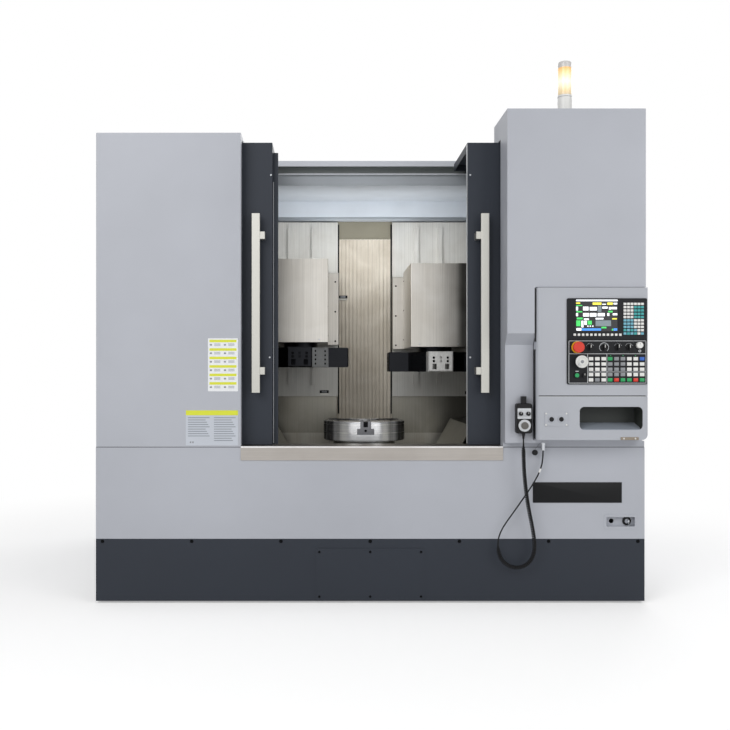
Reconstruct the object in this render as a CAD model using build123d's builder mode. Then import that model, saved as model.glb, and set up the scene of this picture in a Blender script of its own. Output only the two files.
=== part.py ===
from build123d import *

import os
from math import pi, radians, tan

# A vertical turning and grinding machine with two turret heads over one chuck.
# Millimetres. +X is to the operator's right, -Y is the operator's side, +Z is up.
# The origin is on the floor, in the middle of the machine's box.
# A setback is a distance behind the face of the apron.

# Whole machine
machine_width = 3000
machine_depth = 2480
plinth_top = 352
guard_top = 852
left_height = 2572
right_height = 2670
sheet_wall = 4
guard_flange = 60
opening_left = 708
opening_right = 726
cut_overrun = 20
running_gap = 0.3
bearing_gap = 0.05

# Base casting and feet
base_width = 1800
base_front_setback = 300
base_back_setback = 2200
base_bottom = 60
base_top = 760
base_corner = 90
base_wall = 80
base_deck = 90
base_cells_x = 3
base_cells_y = 3
base_cell_corner = 40
foot_radius = 70
foot_pad_height = 26
foot_pad_chamfer = 8
foot_stud_radius = 24
foot_columns = 2
foot_rows = 4

# Column and cross rails
column_width = 1900
column_setback = 1450
column_foot_depth = 680
column_head_depth = 480
column_top = 2330
column_wall = 60
column_cells_x = 3
column_cells_z = 3
column_cell_corner = 30
cross_rail_height = 46
cross_rail_depth = 50
cross_rail_notch = 9
cross_rail_waist_share = 1 / 3
cross_rail_low_z = 1450
cross_rail_high_z = 2080

# Plinth skirt, hatch, apron and sill
skirt_bottom = 12
skirt_screw_radius = 7
skirt_screw_count = 7
skirt_screw_pitch = 488
skirt_screw_drop = 14
hatch_width = 596
hatch_bottom = 16
hatch_top = 300
hatch_lap = 20
hatch_thickness = 3
hatch_screw_radius = 5
hatch_screw_inset = 20
hatch_screw_columns = 3
hatch_screw_rows = 2
sill_thickness = 5
sill_front_height = 76
sill_depth = 200
lock_width = 164
lock_height = 60
lock_x = 1369
lock_z = 445
lock_depth = 34
lock_rim = 9
lock_rim_thickness = 2
lock_barrel_radius = 12
lock_barrel_height = 10
lock_barrel_offset = 42
lock_hole_radius = 13
key_bow_radius = 14
key_bow_thickness = 3
key_shank_width = 7
key_shank_length = 16
key_eye_radius = 4

# Cabinets, roof, header rail and rear cover
cabinet_corner = 8
tower_setback = 260
right_rear_height = 2572
front_fold = 70
right_inset = 35
upper_step = 120
lower_step = 60
step_top = 1470
step_bottom = 1410
overhang_bottom = 880
roof_level = 2490
roof_thickness = 4
door_slot_margin = 30
door_slot_headroom = 12
header_setback = 650
header_depth = 90
header_top = 2562
header_lip = 29
header_wall = 6
header_length = 2640
track_web_height = 56
louvre_length = 240
louvre_width = 14
louvre_rows = 10
louvre_columns = 3
louvre_pitch_x = 380
louvre_pitch_z = 48
louvre_z = 2050
rear_fold = 30

# Chamber
liner_half_width = 1000
liner_front_setback = 216
liner_back_setback = 1110
ceiling_level = 2420
fascia_setback = 670
valance_setback = 1200
valance_bottom = 2290
valance_lip = 62
chute_foot_half_width = 485
chute_knee_half_width = 590
chute_knee_z = 955
chute_shelf_z = 982
back_panel_top = 1180
column_cover_left = -166
column_cover_right = 210
column_cover_bottom = 930
column_cover_setback = 1240
column_cover_plate = 12
column_cover_rib_height = 10
column_cover_rib_width = 12
column_cover_rib_angle = 70
column_cover_rib_count = 15
column_cover_top_band = 110
tray_half_width = 985
tray_front_setback = 24

# Spindle and chuck
chuck_setback = 800
chuck_radius = 255
chuck_bottom = 840
chuck_top = 960
chuck_bore_radius = 82
chuck_edge = 5
chuck_ring_radius = 170
chuck_ring_width = 5
chuck_ring_depth = 2.5
chuck_bolt_circle = 171
chuck_bolt_count = 6
chuck_bolt_radius = 11
chuck_bolt_head_radius = 17
chuck_bolt_head_depth = 24
jaw_count = 3
jaw_neck_width = 66
jaw_neck_depth = 42
jaw_foot_width = 104
jaw_foot_depth = 36
jaw_inner_radius = 118
jaw_outer_inset = 12
jaw_rise = 4
serration_pitch = 16
serration_depth = 3
jaw_key_width = 22
jaw_key_depth = 6
nose_radius = 195
nose_height = 36
housing_flange_radius = 250
housing_flange_height = 30
housing_radius = 190
housing_bottom = 220
spindle_radius = 110
spindle_collar_radius = 150
spindle_collar_height = 60
spindle_tail = 50

# Heads
left_axis_x = -400
right_axis_x = 450
right_head_drop = 28
head_half_width = 172
head_front_setback = 600
head_bottom = 1447
head_height = 511
head_wall = 4
head_edge = 5
slide_setback = 1130
slide_thickness = 40
slide_half_width = 246
slide_drop = 4
slide_height = 486
slide_edge = 3
carriage_half_width = 130
carriage_depth = 34
carriage_height = 400
saddle_setback = 1212
saddle_plate = 20
saddle_inner_reach = 240
saddle_outer_reach = 450
saddle_plate_bottom = 1100
saddle_plate_top = 2280
saddle_block_half_width = 120
saddle_block_bottom = 1300
saddle_block_top = 2240
saddle_back_gap = 10
head_rail_offset = 80
head_rail_width = 34
head_rail_depth = 25
head_rail_bottom = 1180
head_rail_top = 2240
head_casting_half_width = 140
head_casting_front_gap = 36
head_casting_lift = 12
head_casting_height = 440

# Turrets and tool blocks
turret_apothem = 175
turret_sides = 8
turret_height = 122
turret_gap = 31
turret_edge = 4
turret_neck_radius = 105
turret_stem_radius = 60
turret_stem_length = 240
turret_cap_radius = 70
turret_cap_depth = 6
block_count = 4
block_reach = 300
block_width = 150
block_edge = 6
tool_slot_width = 26
tool_slot_height = 34
tool_slot_rise = 14
block_bolt_radius = 8
block_bolt_depth = 22
block_bolt_pitch = 42
block_bolt_rows = 2
block_bolt_columns = 3
block_bolt_rise = 74

# Doors
door_setback = 90
door_thickness = 40
door_width = 720
door_bottom = 860
door_top = 2540
left_door_edge = -540
right_door_edge = 546
door_wall = 5
door_stile = 205
far_stile_share = 1 / 3
door_rail_width = 190
window_corner = 30
window_thickness = 10
window_lap = 16
seal_reach = 30
seal_setback = 135
seal_thickness = 12
seal_top = 2494
door_roof_setback = 620
door_roof_height = 42
hanger_width = 60
hanger_depth = 90
hanger_height = 40
hanger_inset = 110
handle_inset = 88
handle_width = 46
handle_depth = 22
handle_bottom = 1150
handle_top = 2136
handle_edge = 4
handle_standoff = 44
handle_post_height = 40
handle_post_reach = 26
handle_post_inset = 120

# Pendant
pendant_left = 880
pendant_right = 1471
pendant_bottom = 901
pendant_top = 1714
pendant_step = 130
pendant_depth = 180
pendant_side_gap = 4
pendant_corner = 22
pendant_low_corner = 30
pendant_split_z = 1134
pendant_split_width = 4
pendant_split_depth = 5
recess_back_setback = 78
recess_clearance = 3
pivot_inset_x = 41
pivot_inset_y = 25
pivot_radius = 15
tray_slot_left = 1109
tray_slot_right = 1445
tray_slot_bottom = 955
tray_slot_top = 1078
tray_slot_corner = 25
tray_slot_depth = 130
port_plate_x = 984
port_plate_z = 1012
port_plate_width = 122
port_plate_height = 74
port_plate_thickness = 3
port_cap_radius = 17
port_cap_offset = 26
port_cap_height = 4
pendant_wall = 5
pendant_front_wall = 8

# Control panel
panel_left = 1040
panel_right = 1466
panel_bottom = 1198
panel_top = 1656
panel_thickness = 6
panel_corner = 8
panel_split_z = 1435
panel_split_width = 4
panel_split_depth = 3
screen_left = 1088
screen_right = 1311
screen_bottom = 1480
screen_top = 1651
screen_depth = 4
key_size = 11
key_height = 2
keypad_x = 1394
keypad_z = 1547
keypad_pitch_x = 18.5
keypad_pitch_z = 17.5
keypad_columns = 6
keypad_rows = 10
soft_key_z = 1462
soft_key_x = 1202
soft_key_pitch = 22
soft_key_count = 12
mode_key_x = 1303
mode_key_z = 1278
mode_key_size = 17
mode_key_pitch_x = 34
mode_key_pitch_z = 28
mode_key_columns = 9
mode_key_rows = 5

# Controls on the panel
control_row_z = 1395
stop_x = 1095
stop_radius = 29
stop_collar_radius = 22
stop_collar_height = 14
stop_cap_height = 18
stop_travel = 5
selector_xs = (1162, 1237, 1311, 1370)
selector_radius = 15
selector_base_height = 6
selector_grip_width = 9
selector_grip_height = 16
override_x = 1423
override_z = 1406
override_radius = 17
override_height = 20
override_edge = 3
handwheel_x = 1109
handwheel_z = 1318
handwheel_radius = 33
handwheel_hub_radius = 14
handwheel_reach = 45
handwheel_rim_height = 14
handwheel_web_height = 6
start_x = 1091
start_z = 1246
start_radius = 11
start_height = 9
start_travel = 3
panel_knob_x = 1131
panel_knob_radius = 10
panel_knob_height = 15
shaft_radius = 5
shaft_depth = 4

# Handheld pulse unit
handheld_x = 820
handheld_width = 84
handheld_bottom = 934
handheld_top = 1095
handheld_thickness = 45
handheld_corner = 12
handheld_edge = 4
handheld_stub_width = 27
handheld_stub_height = 38
handheld_stub_thickness = 24
dial_z = 977
dial_radius = 32
dial_hub_radius = 19
dial_height = 10
dial_hub_height = 6
handheld_knob_z = 1040
handheld_knob_offset = 20
handheld_knob_radius = 11
handheld_knob_height = 14

# Beacon
beacon_x = 1058
beacon_setback = -20
beacon_radius = 38
beacon_base_height = 97
beacon_base_plinth = 46
beacon_plinth_height = 12
beacon_lens_height = 183
beacon_lens_radius = 36
beacon_lens_crown = 8

# Cord from the cabinet's connector to the handheld unit, with a curly stretch.
# A point of a route is its X, its setback and its Z.
connector_x = 938
connector_setback = -30
connector_radius = 11
connector_nut_radius = 14
connector_nut_height = 10
connector_height = 42
lead_radius = 4.5
curl_radius = 11
lead_route = [
    (938, -30, 838), (938, -30, 796), (926, -32, 736), (888, -35, 662), (828, -37, 576),
    (767, -39, 490), (716, -42, 422), (692, -45, 366),
]
curl_route = [
    (688, -48, 300), (708, -51, 242), (757, -54, 207), (818, -57, 206), (866, -60, 242),
    (886, -63, 302), (880, -66, 378), (864, -69, 460), (846, -72, 546), (834, -75, 632),
    (825, -78, 716), (821, -81, 796), (820, -82, 868), (820, -82, 934),
]
arc_share = 0.45

# Values worked out from the sizes above
rear_y = machine_depth / 2
right_outer_x = machine_width / 2 - right_inset
front_reach = pendant_step + panel_thickness + handwheel_reach
apron_y = front_reach - machine_depth / 2
guard_depth = rear_y - apron_y
guard_mid_y = (rear_y + apron_y) / 2
base_mid_y = apron_y + (base_front_setback + base_back_setback) / 2
base_depth = base_back_setback - base_front_setback
chuck_y = apron_y + chuck_setback
panel_face_y = apron_y - pendant_step - panel_thickness
handheld_back_y = apron_y - lower_step - running_gap
handheld_face_y = handheld_back_y - handheld_thickness
pivot_x = pendant_right - pivot_inset_x
pivot_y = apron_y - pendant_step + pendant_depth - pivot_inset_y
header_y = apron_y + header_setback
header_back_y = header_y + header_depth
door_slot_end_y = header_back_y + door_slot_margin
low_align = (Align.CENTER, Align.CENTER, Align.MIN)


def behind(setback):
    """The Y place of something a setback behind the apron's face."""
    return apron_y + setback


def slab(low, high, mode=Mode.ADD):
    """Add or cut a block between two opposite corners in the part being built."""
    middle = tuple((a + b) / 2 for a, b in zip(low, high))
    with Locations(middle):
        Box(*(b - a for a, b in zip(low, high)), mode=mode)


def guard_ring(low, high):
    """Add a four-sided sheet guard with flanges folded inwards at both ends."""
    for inset, bottom, top in (
        (sheet_wall, low, high),
        (guard_flange, low, low + sheet_wall),
        (guard_flange, high - sheet_wall, high),
    ):
        with BuildSketch(Plane.XY.offset(bottom)) as ring:
            with Locations((0, guard_mid_y)):
                Rectangle(machine_width, guard_depth)
                Rectangle(machine_width - 2 * inset, guard_depth - 2 * inset, mode=Mode.SUBTRACT)
        extrude(ring.sketch, amount=top - bottom)


def front_plane(y_place):
    """A plane facing the operator, with X across and Z up."""
    return Plane.XZ.offset(-y_place)


# Levelling feet, each a pad with a stud and an anchor hole beside it
with BuildPart() as levelling_feet:
    with Locations((0, base_mid_y)):
        with GridLocations(base_width - base_wall, (base_depth - base_wall) / (foot_rows - 1),
                           foot_columns, foot_rows):
            Cylinder(foot_radius, foot_pad_height, align=low_align)
    chamfer(levelling_feet.edges().group_by(Axis.Z)[-1], foot_pad_chamfer)
    with Locations((0, base_mid_y)):
        with GridLocations(base_width - base_wall, (base_depth - base_wall) / (foot_rows - 1),
                           foot_columns, foot_rows):
            Cylinder(foot_stud_radius, base_bottom, align=low_align)

# Base casting, cored from below between its ribs
with BuildPart() as base_casting:
    with BuildSketch(Plane.XY.offset(base_bottom)):
        with Locations((0, base_mid_y)):
            Rectangle(base_width, base_depth)
        chamfer(vertices(), base_corner)
    extrude(amount=base_top - base_bottom)
    cell_pitch_x = (base_width - base_wall) / base_cells_x
    cell_pitch_y = (base_depth - base_wall) / base_cells_y
    with BuildSketch(Plane.XY.offset(base_bottom)):
        with Locations((0, base_mid_y)):
            with GridLocations(cell_pitch_x, cell_pitch_y, base_cells_x, base_cells_y):
                RectangleRounded(cell_pitch_x - base_wall, cell_pitch_y - base_wall, base_cell_corner)
    extrude(amount=base_top - base_bottom - base_deck, mode=Mode.SUBTRACT)
    with Locations((0, chuck_y, base_bottom)):
        Cylinder(housing_radius + base_wall, base_top - base_bottom, align=low_align)
    with Locations((0, chuck_y, base_top)):
        Hole(housing_radius + bearing_gap)

# Column casting, wider at the foot and cored from behind
with BuildPart() as column_casting:
    column_y = behind(column_setback)
    with BuildSketch(Plane.YZ):
        with BuildLine():
            Polyline(
                (column_y, base_top),
                (column_y + column_foot_depth, base_top),
                (column_y + column_head_depth, column_top),
                (column_y, column_top),
                close=True,
            )
        make_face()
    extrude(amount=column_width / 2, both=True)
    cell_pitch_x = (column_width - column_wall) / column_cells_x
    cell_pitch_z = (column_top - base_top - column_wall) / column_cells_z
    with BuildSketch(front_plane(column_y + column_foot_depth)):
        with Locations((0, (base_top + column_top) / 2)):
            with GridLocations(cell_pitch_x, cell_pitch_z, column_cells_x, column_cells_z):
                RectangleRounded(cell_pitch_x - column_wall, cell_pitch_z - column_wall, column_cell_corner)
    extrude(amount=column_foot_depth - column_wall, mode=Mode.SUBTRACT)

# Two linear rails across the column, waisted at their sides
with BuildPart() as cross_rails:
    rail_middle_y = column_y - cross_rail_depth / 2
    with BuildSketch(Plane.YZ):
        with Locations((rail_middle_y, cross_rail_low_z), (rail_middle_y, cross_rail_high_z)):
            Rectangle(cross_rail_depth, cross_rail_height)
            with GridLocations(0, cross_rail_height, 1, 2):
                Rectangle(cross_rail_depth * cross_rail_waist_share, cross_rail_notch, mode=Mode.SUBTRACT)
    extrude(amount=column_width / 2, both=True)

# Plinth skirt with its hatch opening and a row of screw holes
with BuildPart() as plinth_skirt:
    guard_ring(skirt_bottom, plinth_top)
    hatch_open_x = hatch_width / 2 - hatch_lap
    slab(
        (-hatch_open_x, apron_y - cut_overrun, hatch_bottom + hatch_lap),
        (hatch_open_x, apron_y + cut_overrun, hatch_top - hatch_lap),
        Mode.SUBTRACT,
    )
    with BuildSketch(front_plane(apron_y)):
        with Locations((0, plinth_top - skirt_screw_drop)):
            with GridLocations(skirt_screw_pitch, 0, skirt_screw_count, 1):
                Circle(skirt_screw_radius)
    extrude(amount=-sheet_wall, mode=Mode.SUBTRACT)

# Hatch plate over the opening, with six screw holes
with BuildPart() as service_hatch:
    hatch_mid_z = (hatch_top + hatch_bottom) / 2
    with BuildSketch(front_plane(apron_y)):
        with Locations((0, hatch_mid_z)):
            Rectangle(hatch_width, hatch_top - hatch_bottom)
            with GridLocations(hatch_width / 2 - hatch_screw_inset,
                               hatch_top - hatch_bottom - 2 * hatch_screw_inset,
                               hatch_screw_columns, hatch_screw_rows):
                Circle(hatch_screw_radius, mode=Mode.SUBTRACT)
    extrude(amount=hatch_thickness)

# Grey lower guard with the opening for the lock box
with BuildPart() as lower_guard:
    guard_ring(plinth_top, guard_top)
    slab(
        (lock_x - lock_width / 2, apron_y - cut_overrun, lock_z - lock_height / 2),
        (lock_x + lock_width / 2, apron_y + cut_overrun, lock_z + lock_height / 2),
        Mode.SUBTRACT,
    )

# Stainless sill folded over the apron's edge
with BuildPart() as sill:
    with BuildSketch(Plane.YZ.offset(-opening_left)):
        with BuildLine():
            Polyline(
                (apron_y, guard_top + sill_thickness - sill_front_height),
                (apron_y, guard_top),
                (apron_y + sill_depth, guard_top),
            )
            offset(amount=sill_thickness, side=Side.LEFT)
        make_face()
    extrude(amount=opening_left + opening_right)

# Recessed lock box: a tray with a rim, a socket hole and a lock barrel
with BuildPart() as lock_box:
    with BuildSketch(front_plane(apron_y)):
        with Locations((lock_x, lock_z)):
            RectangleRounded(lock_width + 2 * lock_rim, lock_height + 2 * lock_rim, lock_rim)
    extrude(amount=lock_rim_thickness)
    with BuildSketch(front_plane(apron_y)):
        with Locations((lock_x, lock_z)):
            Rectangle(lock_width - running_gap, lock_height - running_gap)
    extrude(amount=-lock_depth)
    with BuildSketch(front_plane(apron_y - lock_rim_thickness)):
        with Locations((lock_x, lock_z)):
            RectangleRounded(lock_width - 2 * sheet_wall, lock_height - 2 * sheet_wall, sheet_wall)
    extrude(amount=-(lock_depth + lock_rim_thickness - sheet_wall), mode=Mode.SUBTRACT)
    lock_floor_y = apron_y + lock_depth - sheet_wall
    with BuildSketch(front_plane(lock_floor_y)):
        with Locations((lock_x + lock_barrel_offset, lock_z)):
            Circle(lock_barrel_radius)
            Rectangle(key_bow_thickness + running_gap, key_shank_width + running_gap, mode=Mode.SUBTRACT)
    extrude(amount=lock_barrel_height)
    with BuildSketch(front_plane(lock_floor_y)):
        with Locations((lock_x - lock_barrel_offset, lock_z)):
            Circle(lock_hole_radius)
    extrude(amount=-sheet_wall, mode=Mode.SUBTRACT)

# Key in the lock: a flat shank with a round bow
with BuildPart() as lock_key:
    key_x = lock_x + lock_barrel_offset
    key_mouth_y = lock_floor_y - lock_barrel_height - running_gap
    with BuildSketch(Plane.YZ.offset(key_x - key_bow_thickness / 2)):
        with Locations((key_mouth_y - key_shank_length / 2, lock_z)):
            Rectangle(key_shank_length, key_shank_width)
        with Locations((key_mouth_y - key_shank_length, lock_z)):
            Circle(key_bow_radius)
            Circle(key_eye_radius, mode=Mode.SUBTRACT)
    extrude(amount=key_bow_thickness)

# Left sheet cabinet, open below and towards the chamber
with BuildPart() as left_cabinet:
    slab((-machine_width / 2, apron_y, guard_top), (-opening_left, rear_y, left_height))
    fillet(left_cabinet.edges().filter_by(Axis.Z).sort_by(Axis.X)[:2], cabinet_corner)
    offset(amount=-sheet_wall, openings=left_cabinet.faces().sort_by(Axis.Z)[0])
    slab(
        (-opening_left - cut_overrun, behind(front_fold), guard_top - cut_overrun),
        (-opening_left + cut_overrun, rear_y - sheet_wall, roof_level),
        Mode.SUBTRACT,
    )
    slab(
        (-opening_left - cut_overrun, behind(front_fold), roof_level - cut_overrun),
        (-opening_left + cut_overrun, door_slot_end_y, door_top + door_slot_headroom),
        Mode.SUBTRACT,
    )

# Right sheet cabinet: tower with a stepped front, recess for the pendant, open towards the chamber
with BuildPart() as right_cabinet:
    with BuildSketch(Plane.YZ.offset(opening_right)):
        with BuildLine():
            Polyline(
                (apron_y - upper_step, right_height),
                (apron_y - upper_step, step_top),
                (apron_y - lower_step, step_bottom),
                (apron_y - lower_step, overhang_bottom),
                (apron_y, overhang_bottom),
                (apron_y, guard_top),
                (rear_y, guard_top),
                (rear_y, right_rear_height),
                (behind(tower_setback), right_rear_height),
                (behind(tower_setback), right_height),
                close=True,
            )
        make_face()
    extrude(amount=right_outer_x - opening_right)
    recess_left = pendant_left - pendant_side_gap
    recess_floor = pendant_bottom - recess_clearance
    recess_roof = pendant_top + recess_clearance
    slab(
        (recess_left, apron_y - upper_step - cut_overrun, recess_floor),
        (right_outer_x + cut_overrun, behind(recess_back_setback), recess_roof),
        Mode.SUBTRACT,
    )
    offset(amount=-sheet_wall, openings=right_cabinet.faces().sort_by(Axis.Z)[0])
    slab(
        (opening_right - cut_overrun, behind(front_fold), guard_top - cut_overrun),
        (opening_right + cut_overrun, rear_y - sheet_wall, roof_level),
        Mode.SUBTRACT,
    )
    slab(
        (opening_right - cut_overrun, behind(front_fold), roof_level - cut_overrun),
        (opening_right + cut_overrun, door_slot_end_y, door_top + door_slot_headroom),
        Mode.SUBTRACT,
    )
    for level in (recess_floor, recess_roof):
        with Locations((pivot_x, pivot_y, level)):
            Cylinder(pivot_radius + bearing_gap, 4 * sheet_wall, mode=Mode.SUBTRACT)

# Roof sheet between the cabinets, with a turned-up front edge against the header
with BuildPart() as roof_cover:
    with BuildSketch(Plane.YZ.offset(-opening_left)):
        with BuildLine():
            Polyline(
                (header_back_y + header_wall, roof_level + rear_fold),
                (header_back_y + header_wall, roof_level),
                (rear_y, roof_level),
            )
            offset(amount=roof_thickness, side=Side.LEFT)
        make_face()
    extrude(amount=opening_left + opening_right)

# Header: a track for the doors that runs into both cabinets, under a hood between them
with BuildPart() as header_rail:
    with BuildSketch(Plane.YZ):
        with BuildLine():
            Polyline(
                (header_y, roof_level),
                (header_back_y, roof_level),
                (header_back_y, roof_level + track_web_height),
            )
            offset(amount=header_wall, side=Side.RIGHT)
        make_face()
    extrude(amount=header_length / 2, both=True)
    with BuildSketch(Plane.YZ.offset(-opening_left)):
        with BuildLine():
            Polyline(
                (header_back_y, roof_level),
                (header_back_y, header_top),
                (header_y, header_top),
                (header_y, header_top - header_lip),
            )
            offset(amount=header_wall, side=Side.RIGHT)
        make_face()
    extrude(amount=opening_left + opening_right)

# Rear cover with rows of louvre slots and folded edges
with BuildPart() as rear_cover:
    slab((-opening_left, rear_y - sheet_wall, guard_top), (opening_right, rear_y, roof_level))
    for edge_x in (-opening_left, opening_right - sheet_wall):
        slab(
            (edge_x, rear_y - rear_fold, guard_top),
            (edge_x + sheet_wall, rear_y, roof_level),
        )
    with BuildSketch(front_plane(rear_y)):
        with Locations(((opening_right - opening_left) / 2, louvre_z)):
            with GridLocations(louvre_pitch_x, louvre_pitch_z, louvre_columns, louvre_rows):
                SlotOverall(louvre_length, louvre_width)
    extrude(amount=sheet_wall, mode=Mode.SUBTRACT)

# Chamber liners: fascia, ceiling and valance, side walls with chutes, lower back panel
with BuildPart() as chamber_liners:
    with BuildSketch(Plane.YZ.offset(-liner_half_width)):
        with BuildLine():
            Polyline(
                (behind(fascia_setback), roof_level - header_wall),
                (behind(fascia_setback), ceiling_level),
                (behind(valance_setback), ceiling_level),
                (behind(valance_setback), valance_bottom),
                (behind(valance_setback) + valance_lip, valance_bottom),
            )
            offset(amount=sheet_wall, side=Side.LEFT)
        make_face()
    extrude(amount=2 * liner_half_width)
    for side in (-1, 1):
        with BuildSketch(front_plane(behind(liner_front_setback))):
            with BuildLine():
                Polyline(
                    (side * chute_foot_half_width, base_top + 2 * sheet_wall),
                    (side * chute_knee_half_width, chute_knee_z),
                    (side * liner_half_width, chute_shelf_z),
                    (side * liner_half_width, ceiling_level),
                )
                offset(amount=sheet_wall, side=Side.RIGHT if side > 0 else Side.LEFT)
            make_face()
        extrude(amount=liner_front_setback - liner_back_setback)
    panel_back_y = behind(column_cover_setback) + column_cover_plate + column_cover_rib_height
    slab(
        (-liner_half_width, panel_back_y, base_top + sheet_wall),
        (liner_half_width, panel_back_y + sheet_wall, back_panel_top),
    )

# Ribbed cover over the column between the heads
with BuildPart() as column_cover:
    cover_mid_x = (column_cover_left + column_cover_right) / 2
    cover_width = column_cover_right - column_cover_left
    cover_rib_y = behind(column_cover_setback)
    slab(
        (column_cover_left, cover_rib_y + column_cover_rib_height, column_cover_bottom),
        (column_cover_right, panel_back_y, valance_bottom),
    )
    with BuildSketch(Plane.XY.offset(column_cover_bottom)):
        with Locations((cover_mid_x, cover_rib_y + column_cover_rib_height)):
            with GridLocations(cover_width / column_cover_rib_count, 0, column_cover_rib_count, 1):
                Trapezoid(column_cover_rib_width, column_cover_rib_height, column_cover_rib_angle,
                          rotation=180, align=(Align.CENTER, Align.MIN))
    extrude(amount=valance_bottom - column_cover_top_band - column_cover_bottom)

# Chip tray on the base deck, with a round opening for the spindle housing
with BuildPart() as chip_tray:
    slab(
        (-tray_half_width, behind(tray_front_setback), base_top),
        (tray_half_width, panel_back_y, guard_top - sheet_wall),
    )
    offset(amount=-sheet_wall, openings=chip_tray.faces().sort_by(Axis.Z)[-1])
    with Locations((0, chuck_y, base_top)):
        Cylinder(housing_flange_radius + running_gap, 4 * sheet_wall, mode=Mode.SUBTRACT)

# Spindle housing: a flanged cartridge with the drive closed inside it
chuck_axis = Axis((0, chuck_y, 0), (0, 0, 1))
with BuildPart() as spindle_housing:
    flange_top = base_top + housing_flange_height
    with BuildSketch(front_plane(chuck_y)):
        with BuildLine():
            Polyline(
                (spindle_radius + bearing_gap, housing_bottom),
                (housing_radius, housing_bottom),
                (housing_radius, base_top),
                (housing_flange_radius, base_top),
                (housing_flange_radius, flange_top),
                (spindle_radius + bearing_gap, flange_top),
                close=True,
            )
        make_face()
    revolve(axis=chuck_axis)

# Spindle shaft with its nose flange and a collar under the housing
with BuildPart() as spindle_shaft:
    collar_bottom = housing_bottom - running_gap - spindle_collar_height
    with BuildSketch(front_plane(chuck_y)):
        with BuildLine():
            Polyline(
                (chuck_bore_radius, collar_bottom - spindle_tail),
                (spindle_radius, collar_bottom - spindle_tail),
                (spindle_radius, collar_bottom),
                (spindle_collar_radius, collar_bottom),
                (spindle_collar_radius, housing_bottom - running_gap),
                (spindle_radius, housing_bottom - running_gap),
                (spindle_radius, chuck_bottom - nose_height),
                (nose_radius, chuck_bottom - nose_height),
                (nose_radius, chuck_bottom),
                (chuck_bore_radius, chuck_bottom),
                close=True,
            )
        make_face()
    revolve(axis=chuck_axis)


def jaw_profile(clearance):
    """Corners of the upside-down T of a jaw or its channel, seen along the radius."""
    neck_half = jaw_neck_width / 2 + clearance
    foot_half = jaw_foot_width / 2 + clearance
    shoulder_z = chuck_top - jaw_neck_depth + clearance
    floor_z = chuck_top - jaw_neck_depth - jaw_foot_depth - clearance
    return [
        (-neck_half, shoulder_z), (-foot_half, shoulder_z), (-foot_half, floor_z),
        (foot_half, floor_z), (foot_half, shoulder_z), (neck_half, shoulder_z),
    ]


# Chuck body: turned disc with T channels for the jaws, a groove and sunk bolts
with BuildPart() as chuck_body:
    with Locations((0, chuck_y, chuck_bottom)):
        Cylinder(chuck_radius, chuck_top - chuck_bottom, align=low_align)
    chamfer(chuck_body.edges().filter_by(GeomType.CIRCLE), chuck_edge)
    with Locations((0, chuck_y, chuck_top)):
        Hole(chuck_bore_radius)
    with BuildSketch(Plane.XY.offset(chuck_top)):
        with Locations((0, chuck_y)):
            Circle(chuck_ring_radius + chuck_ring_width)
            Circle(chuck_ring_radius, mode=Mode.SUBTRACT)
    extrude(amount=-chuck_ring_depth, mode=Mode.SUBTRACT)
    with Locations((0, chuck_y, chuck_top)):
        with PolarLocations(chuck_bolt_circle, chuck_bolt_count):
            CounterBoreHole(chuck_bolt_radius, chuck_bolt_head_radius, chuck_bolt_head_depth)
    for turn in range(jaw_count):
        across = Vector(1, 0, 0).rotate(Axis.Z, turn * 360 / jaw_count)
        outward = Vector(0, -1, 0).rotate(Axis.Z, turn * 360 / jaw_count)
        with BuildSketch(Plane((0, chuck_y, 0), x_dir=across, z_dir=outward)):
            with BuildLine():
                Polyline(
                    (-jaw_neck_width / 2 - running_gap, chuck_top + cut_overrun),
                    *jaw_profile(running_gap),
                    (jaw_neck_width / 2 + running_gap, chuck_top + cut_overrun),
                    close=True,
                )
            make_face()
        extrude(amount=chuck_radius + cut_overrun, mode=Mode.SUBTRACT)

# Master jaw about the chuck's own axis: serrated top with a shallow keyway along it
with BuildPart() as master_jaw:
    jaw_outer_radius = chuck_radius - jaw_outer_inset
    with BuildSketch(front_plane(-jaw_inner_radius)):
        with BuildLine():
            Polyline(
                (-jaw_key_width / 2, chuck_top + jaw_rise),
                (-jaw_neck_width / 2, chuck_top + jaw_rise),
                *jaw_profile(0),
                (jaw_neck_width / 2, chuck_top + jaw_rise),
                (jaw_key_width / 2, chuck_top + jaw_rise),
                (jaw_key_width / 2, chuck_top + jaw_rise - jaw_key_depth),
                (-jaw_key_width / 2, chuck_top + jaw_rise - jaw_key_depth),
                close=True,
            )
        make_face()
    extrude(amount=jaw_outer_radius - jaw_inner_radius)
    tooth_count = int((jaw_outer_radius - jaw_inner_radius) / serration_pitch)
    with BuildSketch(Plane.YZ):
        with Locations((-(jaw_outer_radius + jaw_inner_radius) / 2, chuck_top + jaw_rise)):
            with GridLocations(serration_pitch, 0, tooth_count, 1):
                Rectangle(serration_pitch / 2, 2 * serration_depth)
    extrude(amount=jaw_neck_width, both=True, mode=Mode.SUBTRACT)


def make_jaw(turn):
    """One jaw in its channel."""
    with BuildPart() as jaw:
        with Locations(Location((0, chuck_y, 0), (0, 0, turn * 360 / jaw_count))):
            add(master_jaw.part)
    return jaw


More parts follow.
